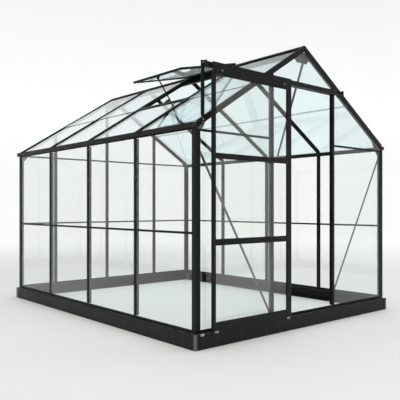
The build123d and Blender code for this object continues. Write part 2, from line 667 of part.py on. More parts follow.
with BuildPart() as door_guide_rail:
    with BuildSketch(before_front(10 - HALF)):
        strip(LEDGE, GUIDE_FOOT, LEDGE + SKIN, GUIDE_SHELF)
        strip(LEDGE + SKIN, GUIDE_SHELF - SKIN, GUIDE_OUT + SKIN, GUIDE_SHELF)
        strip(GUIDE_OUT, GUIDE_SHELF, GUIDE_OUT + SKIN, GUIDE_TOP)
    extrude(amount=20 - WIDTH)
save(door_guide_rail, "door_guide_rail")

# ==== door ================================================================
door_left = DOOR_MID - DOOR_WIDE / 2
door_right = DOOR_MID + DOOR_WIDE / 2
door_front = FRONT - DOOR_REACH
rail_long = DOOR_WIDE - LEFT_STILE - RIGHT_STILE


def door_section(x):
    """Plane across the door at x, its X running from its face to its back."""
    return Plane(origin=(x, door_front, 0), x_dir=(0, 1, 0), z_dir=(1, 0, 0))


def stile(edge, wide, inward):
    """Section of a stile from its outer edge: a hollow box, then the glass groove."""
    box = wide - STILE_GROOVE
    plane = Plane(origin=(edge, door_front, DOOR_FOOT), x_dir=(inward, 0, 0), z_dir=(0, 0, inward))
    with BuildSketch(plane) as section:
        strip(0, 0, box, DOOR_THICK)
        strip(SKIN, SKIN, box - SKIN, DOOR_THICK - SKIN, Mode.SUBTRACT)
        strip(box, 0, wide, SKIN)
        strip(box, GROOVE_BACK, wide, GROOVE_BACK + SKIN)
    return section.sketch


stile_long = PLATE_FOOT - DOOR_FOOT
with BuildPart() as door_stiles:
    extrude(stile(door_left, LEFT_STILE, 1), amount=stile_long)
    extrude(stile(door_right, RIGHT_STILE, -1), amount=-stile_long)
save(door_stiles, "door_stiles")

with BuildPart() as door_top_rail:
    with BuildSketch(door_section(door_left)):
        strip(0, PLATE_FOOT, 2.5, PLATE_TOP)
        strip(2.5, PLATE_FOOT, DOOR_THICK, PLATE_FOOT + SKIN)
        strip(2.5, PLATE_TOP - SKIN, 8, PLATE_TOP)
    extrude(amount=DOOR_WIDE)
    with BuildSketch(door_section(door_left + LEFT_STILE)):
        strip(0, PLATE_FOOT - GROOVE_DEEP, SKIN, PLATE_FOOT)
        strip(GROOVE_BACK, PLATE_FOOT - GROOVE_DEEP, GROOVE_BACK + SKIN, PLATE_FOOT)
    extrude(amount=rail_long)
save(door_top_rail, "door_top_rail")

# a rail is two skins joined by webs; the glass stands in the grooves they leave
with BuildPart() as door_rails:
    for foot, head in RAIL_SPANS:
        lower_web = foot if foot == DOOR_FOOT else foot + GROOVE_DEEP
        with BuildSketch(door_section(door_left + LEFT_STILE)):
            strip(0, foot, SKIN, head)
            strip(GROOVE_BACK, foot, GROOVE_BACK + SKIN, head)
            for web in (lower_web, head - GROOVE_DEEP - SKIN):
                strip(SKIN, web, GROOVE_BACK, web + SKIN)
        extrude(amount=rail_long)
save(door_rails, "door_rails")

with BuildPart() as door_glass:
    left = door_left + LEFT_STILE - GLASS_BITE
    right = door_right - RIGHT_STILE + GLASS_BITE
    heads = [head for foot, head in RAIL_SPANS]
    feet = [foot for foot, head in RAIL_SPANS[1:]] + [PLATE_FOOT - GROOVE_BITE - SKIN]
    for below, above in zip(heads, feet):
        extrude(pane(across(door_front + 9),
                     box_outline(left, below - GROOVE_BITE, right, above + GROOVE_BITE)),
                amount=GLASS)
save(door_glass, "door_glass")

# grooved rollers straddle the track's upstand and turn on pins in the plate
ROLLER = 10.0
ROLLER_GROOVE = 8.2
PIN = 3.0
hub_end = DOOR_REACH - 2.5
with BuildPart() as door_rollers:
    for x in (door_left + WHEEL_INSET, door_right - WHEEL_INSET):
        with BuildSketch(Plane(origin=(x, FRONT, WHEEL_LEVEL), x_dir=(0, -1, 0), z_dir=(-1, 0, 0))):
            with BuildLine():
                Polyline((17, 0), (17, ROLLER), (19, ROLLER), (UPSTAND - 0.4, ROLLER_GROOVE),
                         (UPSTAND + SKIN + 0.4, ROLLER_GROOVE), (23, ROLLER), (25, ROLLER),
                         (25, PIN), (hub_end, PIN), (hub_end, 0), close=True)
            make_face()
        revolve(axis=Axis((x, FRONT, WHEEL_LEVEL), (0, -1, 0)))
save(door_rollers, "door_rollers")

GUIDE_LONG = 24.0
GUIDE_SLOT = 4.4
with BuildPart() as door_guides:
    for x in (door_left + 34, door_right - 21):
        with BuildSketch(before_front(x - GUIDE_LONG / 2)):
            strip(28.5, GUIDE_SHELF + 5, 40, DOOR_FOOT)
            with Locations((GUIDE_OUT + SKIN / 2, GUIDE_SHELF + 10)):
                Rectangle(GUIDE_SLOT, 11, mode=Mode.SUBTRACT)
        extrude(amount=-GUIDE_LONG)
save(door_guides, "door_guides")
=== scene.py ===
import sys
import logging
import math
from dataclasses import dataclass
from enum import Enum
from typing import Callable, Iterable, Sequence

import bmesh
import bpy
from mathutils import Matrix, Vector


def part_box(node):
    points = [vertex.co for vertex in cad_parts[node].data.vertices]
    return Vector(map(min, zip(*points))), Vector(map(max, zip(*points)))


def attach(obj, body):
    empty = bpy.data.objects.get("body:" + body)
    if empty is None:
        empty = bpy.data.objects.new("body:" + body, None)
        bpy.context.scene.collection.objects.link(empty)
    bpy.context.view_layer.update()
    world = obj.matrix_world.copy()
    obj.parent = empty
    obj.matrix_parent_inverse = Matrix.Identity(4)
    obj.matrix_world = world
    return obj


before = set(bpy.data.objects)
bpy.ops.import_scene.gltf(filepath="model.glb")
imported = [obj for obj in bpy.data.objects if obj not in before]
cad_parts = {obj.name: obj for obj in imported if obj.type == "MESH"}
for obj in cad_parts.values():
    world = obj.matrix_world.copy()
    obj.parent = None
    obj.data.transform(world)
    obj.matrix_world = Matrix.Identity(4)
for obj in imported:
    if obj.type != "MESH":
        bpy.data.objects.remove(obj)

log = logging.getLogger("greenhouse")

MM = 0.001                    # one millimetre in the scene's metres
FRAME_BODY = "greenhouse"
DOOR_BODY = "door"

Point = tuple[float, float, float]
Outline = Sequence[tuple[float, float]]     # the points of a section
Socket = bpy.types.NodeSocket
Mesh = bmesh.types.BMesh                    # a mesh while it is being made


# ==== helpers for materials ===============================================
def linear(digits: str) -> tuple[float, float, float, float]:
    """Turn an sRGB hex colour into the linear values that shaders use.

    Args:
        digits: The colour as six hex digits.

    Returns:
        Red, green, blue and an alpha of 1.
    """
    values = []
    for start in (0, 2, 4):
        value = int(digits[start:start + 2], 16) / 255
        values.append(value / 12.92 if value <= 0.04045 else ((value + 0.055) / 1.055) ** 2.4)
    return values[0], values[1], values[2], 1.0


def add(tree: bpy.types.NodeTree, kind: str, links: dict[str | int, Socket] | None = None,
        inputs: dict[str | int, object] | None = None, **options: object) -> bpy.types.Node:
    """Add one node, set its options and values, and link its inputs.

    Args:
        tree: The node tree that takes the node.
        kind: The node's type, without the words that every type begins with.
        links: Input name or number to the output socket that feeds it.
        inputs: Input name or number to its fixed value.
        **options: The node's own options, such as its operation.

    Returns:
        The new node.
    """
    made = tree.nodes.new("ShaderNode" + kind)
    for key, value in options.items():
        setattr(made, key, value)
    for key, value in (inputs or {}).items():
        made.inputs[key].default_value = value
    for key, source in (links or {}).items():
        tree.links.new(source, made.inputs[key])
    return made


def per(size_mm: float) -> float:
    """Texture scale whose features measure about size_mm on the object."""
    return 1.0 / (size_mm * MM)


@dataclass(frozen=True)
class Patches:
    """Cloudy patches of a second colour, with a roughness of their own.

    Attributes:
        size_mm: Size of a patch.
        detail: Layers of finer patches.
        broken: Strength of the finer layers.
        tint: Noise values between which the second colour comes in.
        most: Its largest share.
        sheen: Noise values between which the roughness changes.
        change: What is added to the roughness at the two ends.
    """

    size_mm: float
    detail: float
    broken: float
    tint: tuple[float, float]
    most: float
    sheen: tuple[float, float]
    change: tuple[float, float]


@dataclass(frozen=True)
class Relief:
    """Fine bumps all over a surface.

    Attributes:
        size_mm: Size of a bump.
        detail: Layers of finer bumps.
        broken: Strength of the finer layers.
        strength: Strength of the bump.
        deep_mm: Depth of the bumps.
    """

    size_mm: float
    detail: float
    broken: float
    strength: float
    deep_mm: float


@dataclass(frozen=True)
class Finish:
    """A surface finish, made once as a node material.

    Attributes:
        name: The material's name.
        slot: The record's material slot that it belongs to. Not used.
        colour: Main colour, sRGB hex.
        roughness: Middle roughness of the surface.
    """

    name: str
    slot: str
    colour: str
    roughness: float

    def start(self) -> tuple[bpy.types.Material, bpy.types.NodeTree, Socket]:
        """Begin an empty node material.

        Returns:
            The material, its tree and the object coordinates in metres.
        """
        material = bpy.data.materials.new(self.name)
        material.use_nodes = True
        material.node_tree.nodes.clear()
        place = add(material.node_tree, "TexCoord")
        return material, material.node_tree, place.outputs["Object"]

    def cloud(self, tree: bpy.types.NodeTree, place: Socket, patches: Patches,
              other: str) -> tuple[Socket, Socket, Socket]:
        """Spread patches of a second colour over the main one.

        Args:
            tree: The tree that takes the nodes.
            place: Object coordinates in metres.
            patches: Size and strength of the patches.
            other: The second colour, sRGB hex.

        Returns:
            The patches' noise, the colour and the roughness.
        """
        noise = add(tree, "TexNoise", {"Vector": place},
                    {"Scale": per(patches.size_mm), "Detail": patches.detail,
                     "Roughness": patches.broken}).outputs["Fac"]
        share = add(tree, "MapRange", {"Value": noise},
                    {"From Min": patches.tint[0], "From Max": patches.tint[1],
                     "To Min": 0.0, "To Max": patches.most})
        colour = add(tree, "Mix", {"Factor": share.outputs["Result"]},
                     {"A": linear(self.colour), "B": linear(other)}, data_type="RGBA")
        rough = add(tree, "MapRange", {"Value": noise},
                    {"From Min": patches.sheen[0], "From Max": patches.sheen[1],
                     "To Min": self.roughness + patches.change[0],
                     "To Max": self.roughness + patches.change[1]})
        return noise, colour.outputs["Result"], rough.outputs["Result"]

    def close(self, tree: bpy.types.NodeTree, place: Socket, colour: Socket, rough: Socket,
              relief: Relief, inputs: dict[str | int, object] | None = None) -> None:
        """Lay fine bumps over the surface and join everything in its shader.

        Args:
            tree: The tree that takes the nodes.
            place: Object coordinates in metres.
            colour: Colour of the surface.
            rough: Its roughness.
            relief: Its bumps.
            inputs: The shader's other values.
        """
        noise = add(tree, "TexNoise", {"Vector": place},
                    {"Scale": per(relief.size_mm), "Detail": relief.detail,
                     "Roughness": relief.broken})
        bump = add(tree, "Bump", {"Height": noise.outputs["Fac"]},
                   {"Strength": relief.strength, "Distance": relief.deep_mm * MM})
        shader = add(tree, "BsdfPrincipled",
                     {"Base Color": colour, "Roughness": rough, "Normal": bump.outputs["Normal"]},
                     inputs)
        add(tree, "OutputMaterial", {"Surface": shader.outputs["BSDF"]})

    def material(self) -> bpy.types.Material:
        """Return the finish's material, making it at the first call."""
        return bpy.data.materials.get(self.name) or self.make()

    def make(self) -> bpy.types.Material:
        """Build the node tree. Each kind of finish has its own."""
        raise NotImplementedError


@dataclass(frozen=True)
class PowderCoat(Finish):
    """Polyester powder baked on metal: dark, satin, with a faint orange peel.

    The eye sees a broad soft highlight broken by fine bumps, a little pale
    dust where faces look up, which also paints a highlight along their top
    edges, and thin marks where rain has run down.

    Attributes:
        worn: The lighter colour of scuffed and weathered patches.
        dust: Colour of the dust that settles on upper faces, where it also paints a highlight.
        top_dust_and_highlight: How much of the dust, and of its painted highlight, covers a level
            face.
        sheen_arrises: Distance of the upright arrises from the middle, along X and
        Y, where a sheen is painted down a folded corner, or none.
        sheen_colour: Colour of the painted sheen on such a corner.
        patches: The weathered patches.
        peel: The orange peel. The real one is about 1 mm across, and is
            drawn at 3 mm so that it shows.
    """

    worn: str = "1c1d1f"
    dust: str = "8d8a82"
    top_dust_and_highlight: float = 0.12
    sheen_arrises: tuple[float, float] | None = None
    sheen_colour: str = "8a8c8e"
    patches: Patches = Patches(260, 4.0, 0.55, (0.42, 0.78), 0.55, (0.3, 0.7), (-0.05, 0.09))
    peel: Relief = Relief(3, 2.0, 0.5, 0.18, 0.12)

    def make(self) -> bpy.types.Material:
        """Build the powder coat.

        Returns:
            The material.
        """
        material, tree, place = self.start()
        noise, coat, rough = self.cloud(tree, place, self.patches, self.worn)

        # rain marks: narrow across, long down the piece
        runs = add(tree, "Mapping", {"Vector": place}, {"Scale": (per(14), per(14), per(420))})
        marks = add(tree, "TexNoise", {"Vector": runs.outputs["Vector"]},
                    {"Scale": 1.0, "Detail": 3.0, "Roughness": 0.6})
        mark_share = add(tree, "MapRange", {"Value": marks.outputs["Fac"]},
                         {"From Min": 0.58, "From Max": 0.80, "To Min": 0.0, "To Max": 0.12})

        # dust on the faces that look up, in fine speckles, which also paints a highlight along them
        facing = add(tree, "NewGeometry")
        split = add(tree, "SeparateXYZ", {"Vector": facing.outputs["Normal"]})
        upper = add(tree, "MapRange", {"Value": split.outputs["Z"]},
                    {"From Min": 0.55, "From Max": 0.95, "To Min": 0.0, "To Max": self.top_dust_and_highlight})
        speckle = add(tree, "TexNoise", {"Vector": place},
                      {"Scale": per(35), "Detail": 6.0, "Roughness": 0.7})
        lying_dust_and_highlight = add(tree, "Math", {0: upper.outputs["Result"], 1: speckle.outputs["Fac"]},
                    operation="MULTIPLY")
        dust_highlight_and_runs = add(tree, "Math", {0: lying_dust_and_highlight.outputs["Value"], 1: mark_share.outputs["Result"]},
                    operation="ADD", use_clamp=True)
        colour = add(tree, "Mix", {"Factor": dust_highlight_and_runs.outputs["Value"], "A": coat},
                     {"B": linear(self.dust)}, data_type="RGBA").outputs["Result"]
        # a painted sheen down the upright corners of the base
        if self.sheen_arrises:
            colour = self.paint_corner_sheen(tree, place, noise, colour)
        self.close(tree, place, colour, rough, self.peel, {"Specular IOR Level": 0.22})
        return material

    def paint_corner_sheen(self, tree: bpy.types.NodeTree, place: Socket, noise: Socket,
                coat: Socket) -> Socket:
        """Paint a sheen along the four upright corners, in a soft light streak.

        Args:
            tree: The tree that takes the nodes.
            place: Object coordinates in metres.
            noise: Coarse noise that breaks the streak up.
            coat: Colour of the coat elsewhere.

        Returns:
            The colour with its streaks.
        """
        split = add(tree, "SeparateXYZ", {"Vector": place})
        near = []
        for axis, reach in zip("XY", self.sheen_arrises):
            size = add(tree, "Math", {0: split.outputs[axis]}, operation="ABSOLUTE")
            near.append(add(tree, "MapRange", {"Value": size.outputs["Value"]},
                            {"From Min": reach - 20 * MM, "From Max": reach - 4 * MM,
                             "To Min": 0.0, "To Max": 1.0}, interpolation_type="SMOOTHSTEP"))
        both = add(tree, "Math", {0: near[0].outputs["Result"], 1: near[1].outputs["Result"]},
                   operation="MULTIPLY")
        broken = add(tree, "Math", {0: both.outputs["Value"], 1: noise}, operation="MULTIPLY")
        mixed = add(tree, "Mix", {"Factor": broken.outputs["Value"], "A": coat},
                    {"B": linear(self.sheen_colour)}, data_type="RGBA")
        return mixed.outputs["Result"]


@dataclass(frozen=True)
class BareMetal(Finish):
    """Metal with no paint, dulled outdoors: mill aluminium or zinc plating.

    It is a grey metal with a blurred shine, fine scratches from handling and
    cloudy patches of white oxide.

    Attributes:
        oxide: Colour of the cloudy patches.
        patches: The patches.
        scratches: The scratches, drawn 2 mm apart, coarser than real ones.
    """

    oxide: str = "8f9293"
    patches: Patches = Patches(90, 5.0, 0.6, (0.4, 0.72), 0.8, (0.3, 0.75), (-0.07, 0.16))
    scratches: Relief = Relief(2, 3.0, 0.7, 0.15, 0.08)

    def make(self) -> bpy.types.Material:
        """Build the bare metal.

        Returns:
            The material.
        """
        material, tree, place = self.start()
        _, colour, rough = self.cloud(tree, place, self.patches, self.oxide)
        self.close(tree, place, colour, rough, self.scratches, {"Metallic": 0.85})
        return material


class Faces(Enum):
    """Which way a set of panes faces, as the part of its normal that is large."""

    ALONG_X = "X"
    ALONG_Y = "Y"
    SLOPED = "Z"


@dataclass(frozen=True)
class FloatGlass(Finish):
    """Clear float glass, 3 mm thick, with ground edges.

    The faces are nearly colourless and mirror the surroundings at a low
    angle. Its iron shows only at the cut edges, which look sea green.

    Attributes:
        edge: Colour of the cut edges.
        faces: Which way the panes' large faces look.
        film: Thin haze of dried rain and dust, as a share of roughness.
        passed: Colour of the light that lamps send through a pane.
    """

    edge: str = "5f9a8c"
    faces: Faces = Faces.ALONG_X
    film: float = 0.035
    passed: str = "f5f8f8"

    def make(self) -> bpy.types.Material:
        """Build the glass, which lets lamps through to what stands behind it.

        Returns:
            The material.
        """
        material, tree, place = self.start()
        facing = add(tree, "NewGeometry")
        split = add(tree, "SeparateXYZ", {"Vector": facing.outputs["Normal"]})
        size = add(tree, "Math", {0: split.outputs[self.faces.value]}, operation="ABSOLUTE")
        on_edge = add(tree, "Math", {0: size.outputs["Value"]}, {1: 0.6}, operation="LESS_THAN")
        colour = add(tree, "Mix", {"Factor": on_edge.outputs["Value"]},
                     {"A": linear(self.colour), "B": linear(self.edge)}, data_type="RGBA")
        haze = add(tree, "TexNoise", {"Vector": place},
                   {"Scale": per(180), "Detail": 5.0, "Roughness": 0.65})
        rough = add(tree, "MapRange", {"Value": haze.outputs["Fac"]},
                    {"From Min": 0.45, "From Max": 0.8,
                     "To Min": self.roughness, "To Max": self.roughness + self.film})
        glass = add(tree, "BsdfPrincipled",
                    {"Base Color": colour.outputs["Result"], "Roughness": rough.outputs["Result"]},
                    {"IOR": 1.5, "Transmission Weight": 1.0})
        through = add(tree, "BsdfTransparent", None, {"Color": linear(self.passed)})
        rays = add(tree, "LightPath")
        surface = add(tree, "MixShader", {0: rays.outputs["Is Shadow Ray"],
                                          1: glass.outputs["BSDF"], 2: through.outputs["BSDF"]})
        add(tree, "OutputMaterial", {"Surface": surface.outputs["Shader"]})
        return material


@dataclass(frozen=True)
class Moulding(Finish):
    """Injection-moulded plastic or extruded rubber, matt, with a fine grain.

    Attributes:
        scuff: Colour of scuffed patches.
        patches: The scuffed patches.
        grain: The mould's texture, drawn coarser than the real one.
    """

    scuff: str = "4a4b4c"
    patches: Patches = Patches(30, 4.0, 0.6, (0.5, 0.8), 0.5, (0.3, 0.7), (-0.06, 0.06))
    grain: Relief = Relief(1.6, 2.0, 0.5, 0.2, 0.1)

    def make(self) -> bpy.types.Material:
        """Build the moulded surface.

        Returns:
            The material.
        """
        material, tree, place = self.start()
        _, colour, rough = self.cloud(tree, place, self.patches, self.scuff)
        self.close(tree, place, colour, rough, self.grain)
        return material


# Both coats lay extra dust on upward faces, to paint a highlight along top edges.
BLACK_COAT = PowderCoat("black_powder_coat", "black_aluminium", "0c0d0e", 0.44, worn="151617",
                        top_dust_and_highlight=0.3)
# The base's coat has a painted sheen down its four upright corners.
BASE_COAT = PowderCoat("anthracite_powder_coat", "base_steel", "111213", 0.46,
                       worn="1c1d1e", dust="9b9892", top_dust_and_highlight=0.45, sheen_arrises=(0.968, 1.250))
# Both colours are set darker than clean mill aluminium: metal grey with painted shade.
MILL_METAL = BareMetal("mill_aluminium", "bare_aluminium", "686b6d", 0.46, oxide="5f6162")
BOLT_METAL = BareMetal("zinc_plated_steel", "bare_aluminium", "999c9e", 0.36, oxide="7d7e7d")
CAP_PLASTIC = Moulding("black_polypropylene", "black_plastic", "1a1a1b", 0.55)
GASKET = Moulding("epdm_rubber", "black_plastic", "121213", 0.72, scuff="262627",
                  grain=Relief(1.0, 2.0, 0.5, 0.2, 0.1))
NYLON = Moulding("natural_nylon", "nylon", "a9a8a2", 0.45, scuff="85837c")
SIDE_GLASS = FloatGlass("float_glass_sides", "clear_glass", "fbfdfc", 0.0, faces=Faces.ALONG_X)
GABLE_GLASS = FloatGlass("float_glass_gables", "clear_glass", "fbfdfc", 0.0, faces=Faces.ALONG_Y)
ROOF_GLASS = FloatGlass("float_glass_roof", "clear_glass", "eefafc", 0.0, faces=Faces.SLOPED)


# ==== where things are, read from the frame ===============================
def spans(node: str, axis: int, gap: float = 100 * MM) -> tuple[tuple[float, float], ...]:
    """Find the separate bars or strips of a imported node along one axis.

    Args:
        node: The node's name.
        axis: 0, 1 or 2 for X, Y or Z.
        gap: Two points further apart than this belong to different bars.

    Returns:
        The two faces of each bar, lowest bar first.
    """
    values = sorted(vert.co[axis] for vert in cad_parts[node].data.vertices)
    groups = [[values[0]]]
    for value in values[1:]:
        if value - groups[-1][-1] > gap:
            groups.append([])
        groups[-1].append(value)
    return tuple((group[0], group[-1]) for group in groups)


def middles(node: str, axis: int) -> tuple[float, ...]:
    """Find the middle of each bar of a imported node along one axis.

    Args:
        node: The node's name.
        axis: 0, 1 or 2 for X, Y or Z.

    Returns:
        The middles, lowest first.
    """
    return tuple((low + high) / 2 for low, high in spans(node, axis))


@dataclass(frozen=True)
class Plan:
    """The greenhouse's main lines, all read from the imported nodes.

    Attributes:
        left, right, front, rear: Outer faces of the corner posts.
        base_top: Top of the steel base.
        ridge: Roof surface at the ridge.
        slope: Fall of the roof surface for each metre out from the ridge.
        side_bars: Y of the three bars of each side wall.
        jambs: X of the two door jambs.
        rear_posts: X of the rear gable's posts.
    """

    left: float
    right: float
    front: float
    rear: float
    base_top: float
    ridge: float
    slope: float
    side_bars: tuple[float, ...]
    jambs: tuple[float, ...]
    rear_posts: tuple[float, ...]

    @staticmethod
    def read() -> "Plan":
        """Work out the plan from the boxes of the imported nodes.

        Returns:
            The plan, in metres.
        """
        low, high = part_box("corner_posts")
        widest = max(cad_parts["right_roof_bars"].data.polygons, key=lambda face: face.area)
        if abs(widest.normal.z) < 0.1:
            raise ValueError("the widest face of a roof bar should be its cap, not its web")
        return Plan(low.x, high.x, low.y, high.y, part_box("base_side_beams")[1].z,
                    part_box("front_rafters")[1].z, abs(widest.normal.x / widest.normal.z),
                    middles("left_wall_bars", 1), middles("door_jambs", 0),
                    middles("rear_gable_posts", 0))

    def roof(self, x: float, depth: float = 0.0) -> float:
        """Find the height of the roof at x, or of a line set into it.

        Args:
            x: Distance from the ridge, either side.
            depth: How far below the surface, square to it.

        Returns:
            The height.
        """
        return self.ridge - abs(x) * self.slope - depth * math.hypot(1.0, self.slope)

    def outward(self, side: int) -> Vector:
        """Find the direction that looks out of one roof slope.

        Args:
            side: -1 for the left slope, 1 for the right one.

        Returns:
            The direction, one long.
        """
        return Vector((side * self.slope, 0.0, 1.0)).normalized()


# ==== helpers for shapes ==================================================
def matrix_of(x: Vector, y: Vector, z: Vector, place: Sequence[float]) -> Matrix:
    """Make the matrix whose axes are x, y and z and whose origin is place.

    Args:
        x, y, z: The axes, one long and square to each other.
        place: The origin.

    Returns:
        The matrix.
    """
    turn = Matrix((x, y, z)).transposed().to_4x4()
    turn.translation = Vector(place)
    return turn


def frame_at(place: Sequence[float], out: Sequence[float],
             along: Sequence[float] = (0, 0, 1)) -> Matrix:
    """Make the matrix of a fixing whose Z points out of the face it sits on.

    Args:
        place: Point on the face.
        out: Direction away from the face.
        along: Direction that the fixing's Y follows as nearly as it can.

    Returns:
        A matrix from the fixing's own space to the row frame.
    """
    z = Vector(out).normalized()
    y = Vector(along)
    y = (y - z * y.dot(z)).normalized()
    return matrix_of(y.cross(z), y, z, place)


def lathe(bm: Mesh, outline: Outline, steps: int, where: Matrix) -> None:
    """Turn an outline round its axis into a solid, or a shell if it ends off the axis.

    Args:
        bm: The mesh that takes it.
        outline: Radius and height of each point, from the axis on.
        steps: Sides of the turned shape.
        where: Matrix from the outline's space to the row frame.
    """
    made = bmesh.new()
    verts = [made.verts.new((radius, 0.0, height)) for radius, height in outline]
    edges = [made.edges.new(pair) for pair in zip(verts, verts[1:])]
    bmesh.ops.spin(made, geom=verts + edges, cent=(0, 0, 0), axis=(0, 0, 1),
                   angle=math.tau, steps=steps, use_merge=True, use_duplicate=False)
    bmesh.ops.remove_doubles(made, verts=made.verts, dist=1e-6)
    bmesh.ops.recalc_face_normals(made, faces=made.faces)
    join(bm, made, where)


def join(bm: Mesh, made: Mesh, where: Matrix) -> None:
    """Move a small mesh into place and add it to a larger one.

    Args:
        bm: The mesh that grows.
        made: The mesh that is added, and freed.
        where: Matrix that places it.
    """
    bmesh.ops.transform(made, matrix=where, verts=made.verts)
    holder = bpy.data.meshes.new("holder")
    made.to_mesh(holder)
    made.free()
    bm.from_mesh(holder)
    bpy.data.meshes.remove(holder)


def strip_along(bm: Mesh, outline: Outline, start: Sequence[float], stop: Sequence[float],
                out: Sequence[float]) -> None:
    """Draw an outline along a straight line, such as a seal along a bar.

    Args:
        bm: The mesh that takes the strip.
        outline: Points of the section: sideways, and out of the face.
        start: Where the strip begins.
        stop: Where it ends.
        out: Direction away from the face.
    """
    run = Vector(stop) - Vector(start)
    made = bmesh.new()
    face = made.faces.new([made.verts.new((side, lift, 0.0)) for side, lift in outline])
    grown = bmesh.ops.extrude_face_region(made, geom=[face])
    moved = [item for item in grown["geom"] if isinstance(item, bmesh.types.BMVert)]
    bmesh.ops.translate(made, verts=moved, vec=(0, 0, run.length))
    bmesh.ops.recalc_face_normals(made, faces=made.faces)
    z = run.normalized()
    y = Vector(out).normalized()
    join(bm, made, matrix_of(y.cross(z), y, z, start))


def sweep(bm: Mesh, radius: float, sides: int, path: Sequence[Vector], where: Matrix) -> None:
    """Draw a round wire along a path.

    Args:
        bm: The mesh that takes the wire.
        radius: Radius of the wire.
        sides: Sides of its round section.
        path: The points that its middle follows.
        where: Matrix that places it.
    """
    made = bmesh.new()
    ring = bmesh.ops.create_circle(made, cap_ends=False, segments=sides, radius=radius)["verts"]
    edges = made.edges[:]
    ring_at = Matrix.Identity(4)
    for number, point in enumerate(path):
        before = path[max(number - 1, 0)]
        after = path[min(number + 1, len(path) - 1)]
        turn = Vector((0, 0, 1)).rotation_difference((after - before).normalized())
        target = Matrix.Translation(point) @ turn.to_matrix().to_4x4()
        if number:
            grown = bmesh.ops.extrude_edge_only(made, edges=edges)["geom"]
            ring = [item for item in grown if isinstance(item, bmesh.types.BMVert)]
            edges = [item for item in grown if isinstance(item, bmesh.types.BMEdge)
                     and item.verts[0] in ring and item.verts[1] in ring]
        bmesh.ops.transform(made, matrix=target @ ring_at.inverted(), verts=ring)
        ring_at = target
    bmesh.ops.holes_fill(made, edges=made.edges, sides=0)
    bmesh.ops.recalc_face_normals(made, faces=made.faces)
    join(bm, made, where)


class Workshop:
    """Makes finished pieces out of small meshes and puts them on their body."""

    @staticmethod
    def shape(name: str, build: Callable[[Mesh], None], finish: Finish) -> bpy.types.Object:
        """Build one object at the origin and give it its finish.

        Args:
            name: The object's name.
            build: Function that fills its mesh.
            finish: Its finish.

        Returns:
            The new object.
        """
        bm = bmesh.new()
        build(bm)
        mesh = bpy.data.meshes.new(name)
        bm.to_mesh(mesh)
        bm.free()
        mesh.materials.append(finish.material())
        made = bpy.data.objects.new(name, mesh)
        bpy.context.scene.collection.objects.link(made)
        return made

    @staticmethod
    def piece(name: str, build: Callable[[Mesh], None], finish: Finish, body: str) -> None:
        """Build one piece and let it ride on its body.

        Args:
            name: The piece's name.
            build: Function that fills its mesh.
            finish: Its finish.
            body: The body that it moves with.
        """
        made = Workshop.shape(name, build, finish)
        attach(made, body)
        log.info("%s: %d faces on %s", name, len(made.data.polygons), body)

    @staticmethod
    def dress(finish: Finish, names: Iterable[str]) -> None:
        """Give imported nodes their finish.

        Args:
            finish: The finish.
            names: The nodes that take it.
        """
        for name in names:
            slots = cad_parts[name].data.materials
            slots.clear()
            slots.append(finish.material())
            log.info("%s: %s", name, finish.name)


# ==== fixings =============================================================
@dataclass
class Fixings:
    """Bolts, nuts and screws, each drawn once as an outline to be turned.

    Attributes:
        nut_across: Width of a nut across its flats.
        nut_high: Height of a nut.
        chamfer: Width of the nut's bevelled rims.
        washer: Radius of the washer under it.
        washer_high: Thickness of that washer.
        bolt: Radius of the bolt.
        bolt_end: How far the bolt stands out of its nut.
        dome: Radius of a domed head.
        dome_rise: Its height over its washer.
        dome_washer: Thickness of its washer.
    """

    nut_across: float = 10 * MM
    nut_high: float = 5 * MM
    chamfer: float = 0.5 * MM
    washer: float = 6.5 * MM
    washer_high: float = 1.2 * MM
    bolt: float = 2.6 * MM
    bolt_end: float = 2.5 * MM
    dome: float = 5 * MM
    dome_rise: float = 3.2 * MM
    dome_washer: float = 1.0 * MM

    def nut(self, bm: Mesh, where: Matrix) -> None:
        """Add a washer, a hexagon nut and the bolt end that stands out of it.

        Args:
            bm: The mesh that takes them.
            where: Matrix whose Z points out of the face.
        """
        self.disc(bm, self.washer, self.washer_high, where)
        made = bmesh.new()
        radius = self.nut_across / math.sqrt(3)
        middle = Matrix.Translation((0, 0, self.washer_high + self.nut_high / 2))
        bmesh.ops.create_cone(made, cap_ends=True, segments=6, radius1=radius, radius2=radius,
                              depth=self.nut_high, matrix=middle)
        rims = [edge for edge in made.edges if abs(edge.verts[0].co.z - edge.verts[1].co.z) < 1e-6]
        bmesh.ops.bevel(made, geom=rims, offset=self.chamfer, segments=1, profile=0.5,
                        affect="EDGES", material=-1)
        join(bm, made, where)
        self.disc(bm, self.bolt, self.washer_high + self.nut_high + self.bolt_end, where)

    def disc(self, bm: Mesh, radius: float, high: float, where: Matrix) -> None:
        """Add a flat round disc with a softened rim.

        Args:
            bm: The mesh that takes it.
            radius: Its radius.
            high: Its height.
            where: Matrix whose Z points out of the face.
        """
        rim = min(0.4 * MM, high / 3)
        outline = [(0, 0), (radius, 0), (radius, high - rim), (radius - rim, high), (0, high)]
        lathe(bm, outline, 12, where)

    def domed(self, bm: Mesh, where: Matrix) -> None:
        """Add a domed bolt head on a thin washer.

        Args:
            bm: The mesh that takes it.
            where: Matrix whose Z points out of the face.
        """
        foot = self.dome_washer
        self.disc(bm, self.dome * 1.35, foot, where)
        turns = [math.radians(90 * step / 5) for step in range(5)]
        curve = [(self.dome * math.cos(turn), foot + self.dome_rise * math.sin(turn))
                 for turn in turns]
        lathe(bm, [(0, foot - 0.2 * MM), *curve, (0, foot + self.dome_rise)], 14, where)

    def screw(self, bm: Mesh, where: Matrix) -> None:
        """Add a pan head screw with a sunk socket.

        Args:
            bm: The mesh that takes it.
            where: Matrix whose Z points out of the face.
        """
        lathe(bm, [(0, 0), (3.8 * MM, 0), (3.8 * MM, 1.2 * MM), (3.0 * MM, 2.2 * MM),
                   (1.4 * MM, 2.4 * MM), (1.2 * MM, 1.4 * MM), (0, 1.3 * MM)], 12, where)


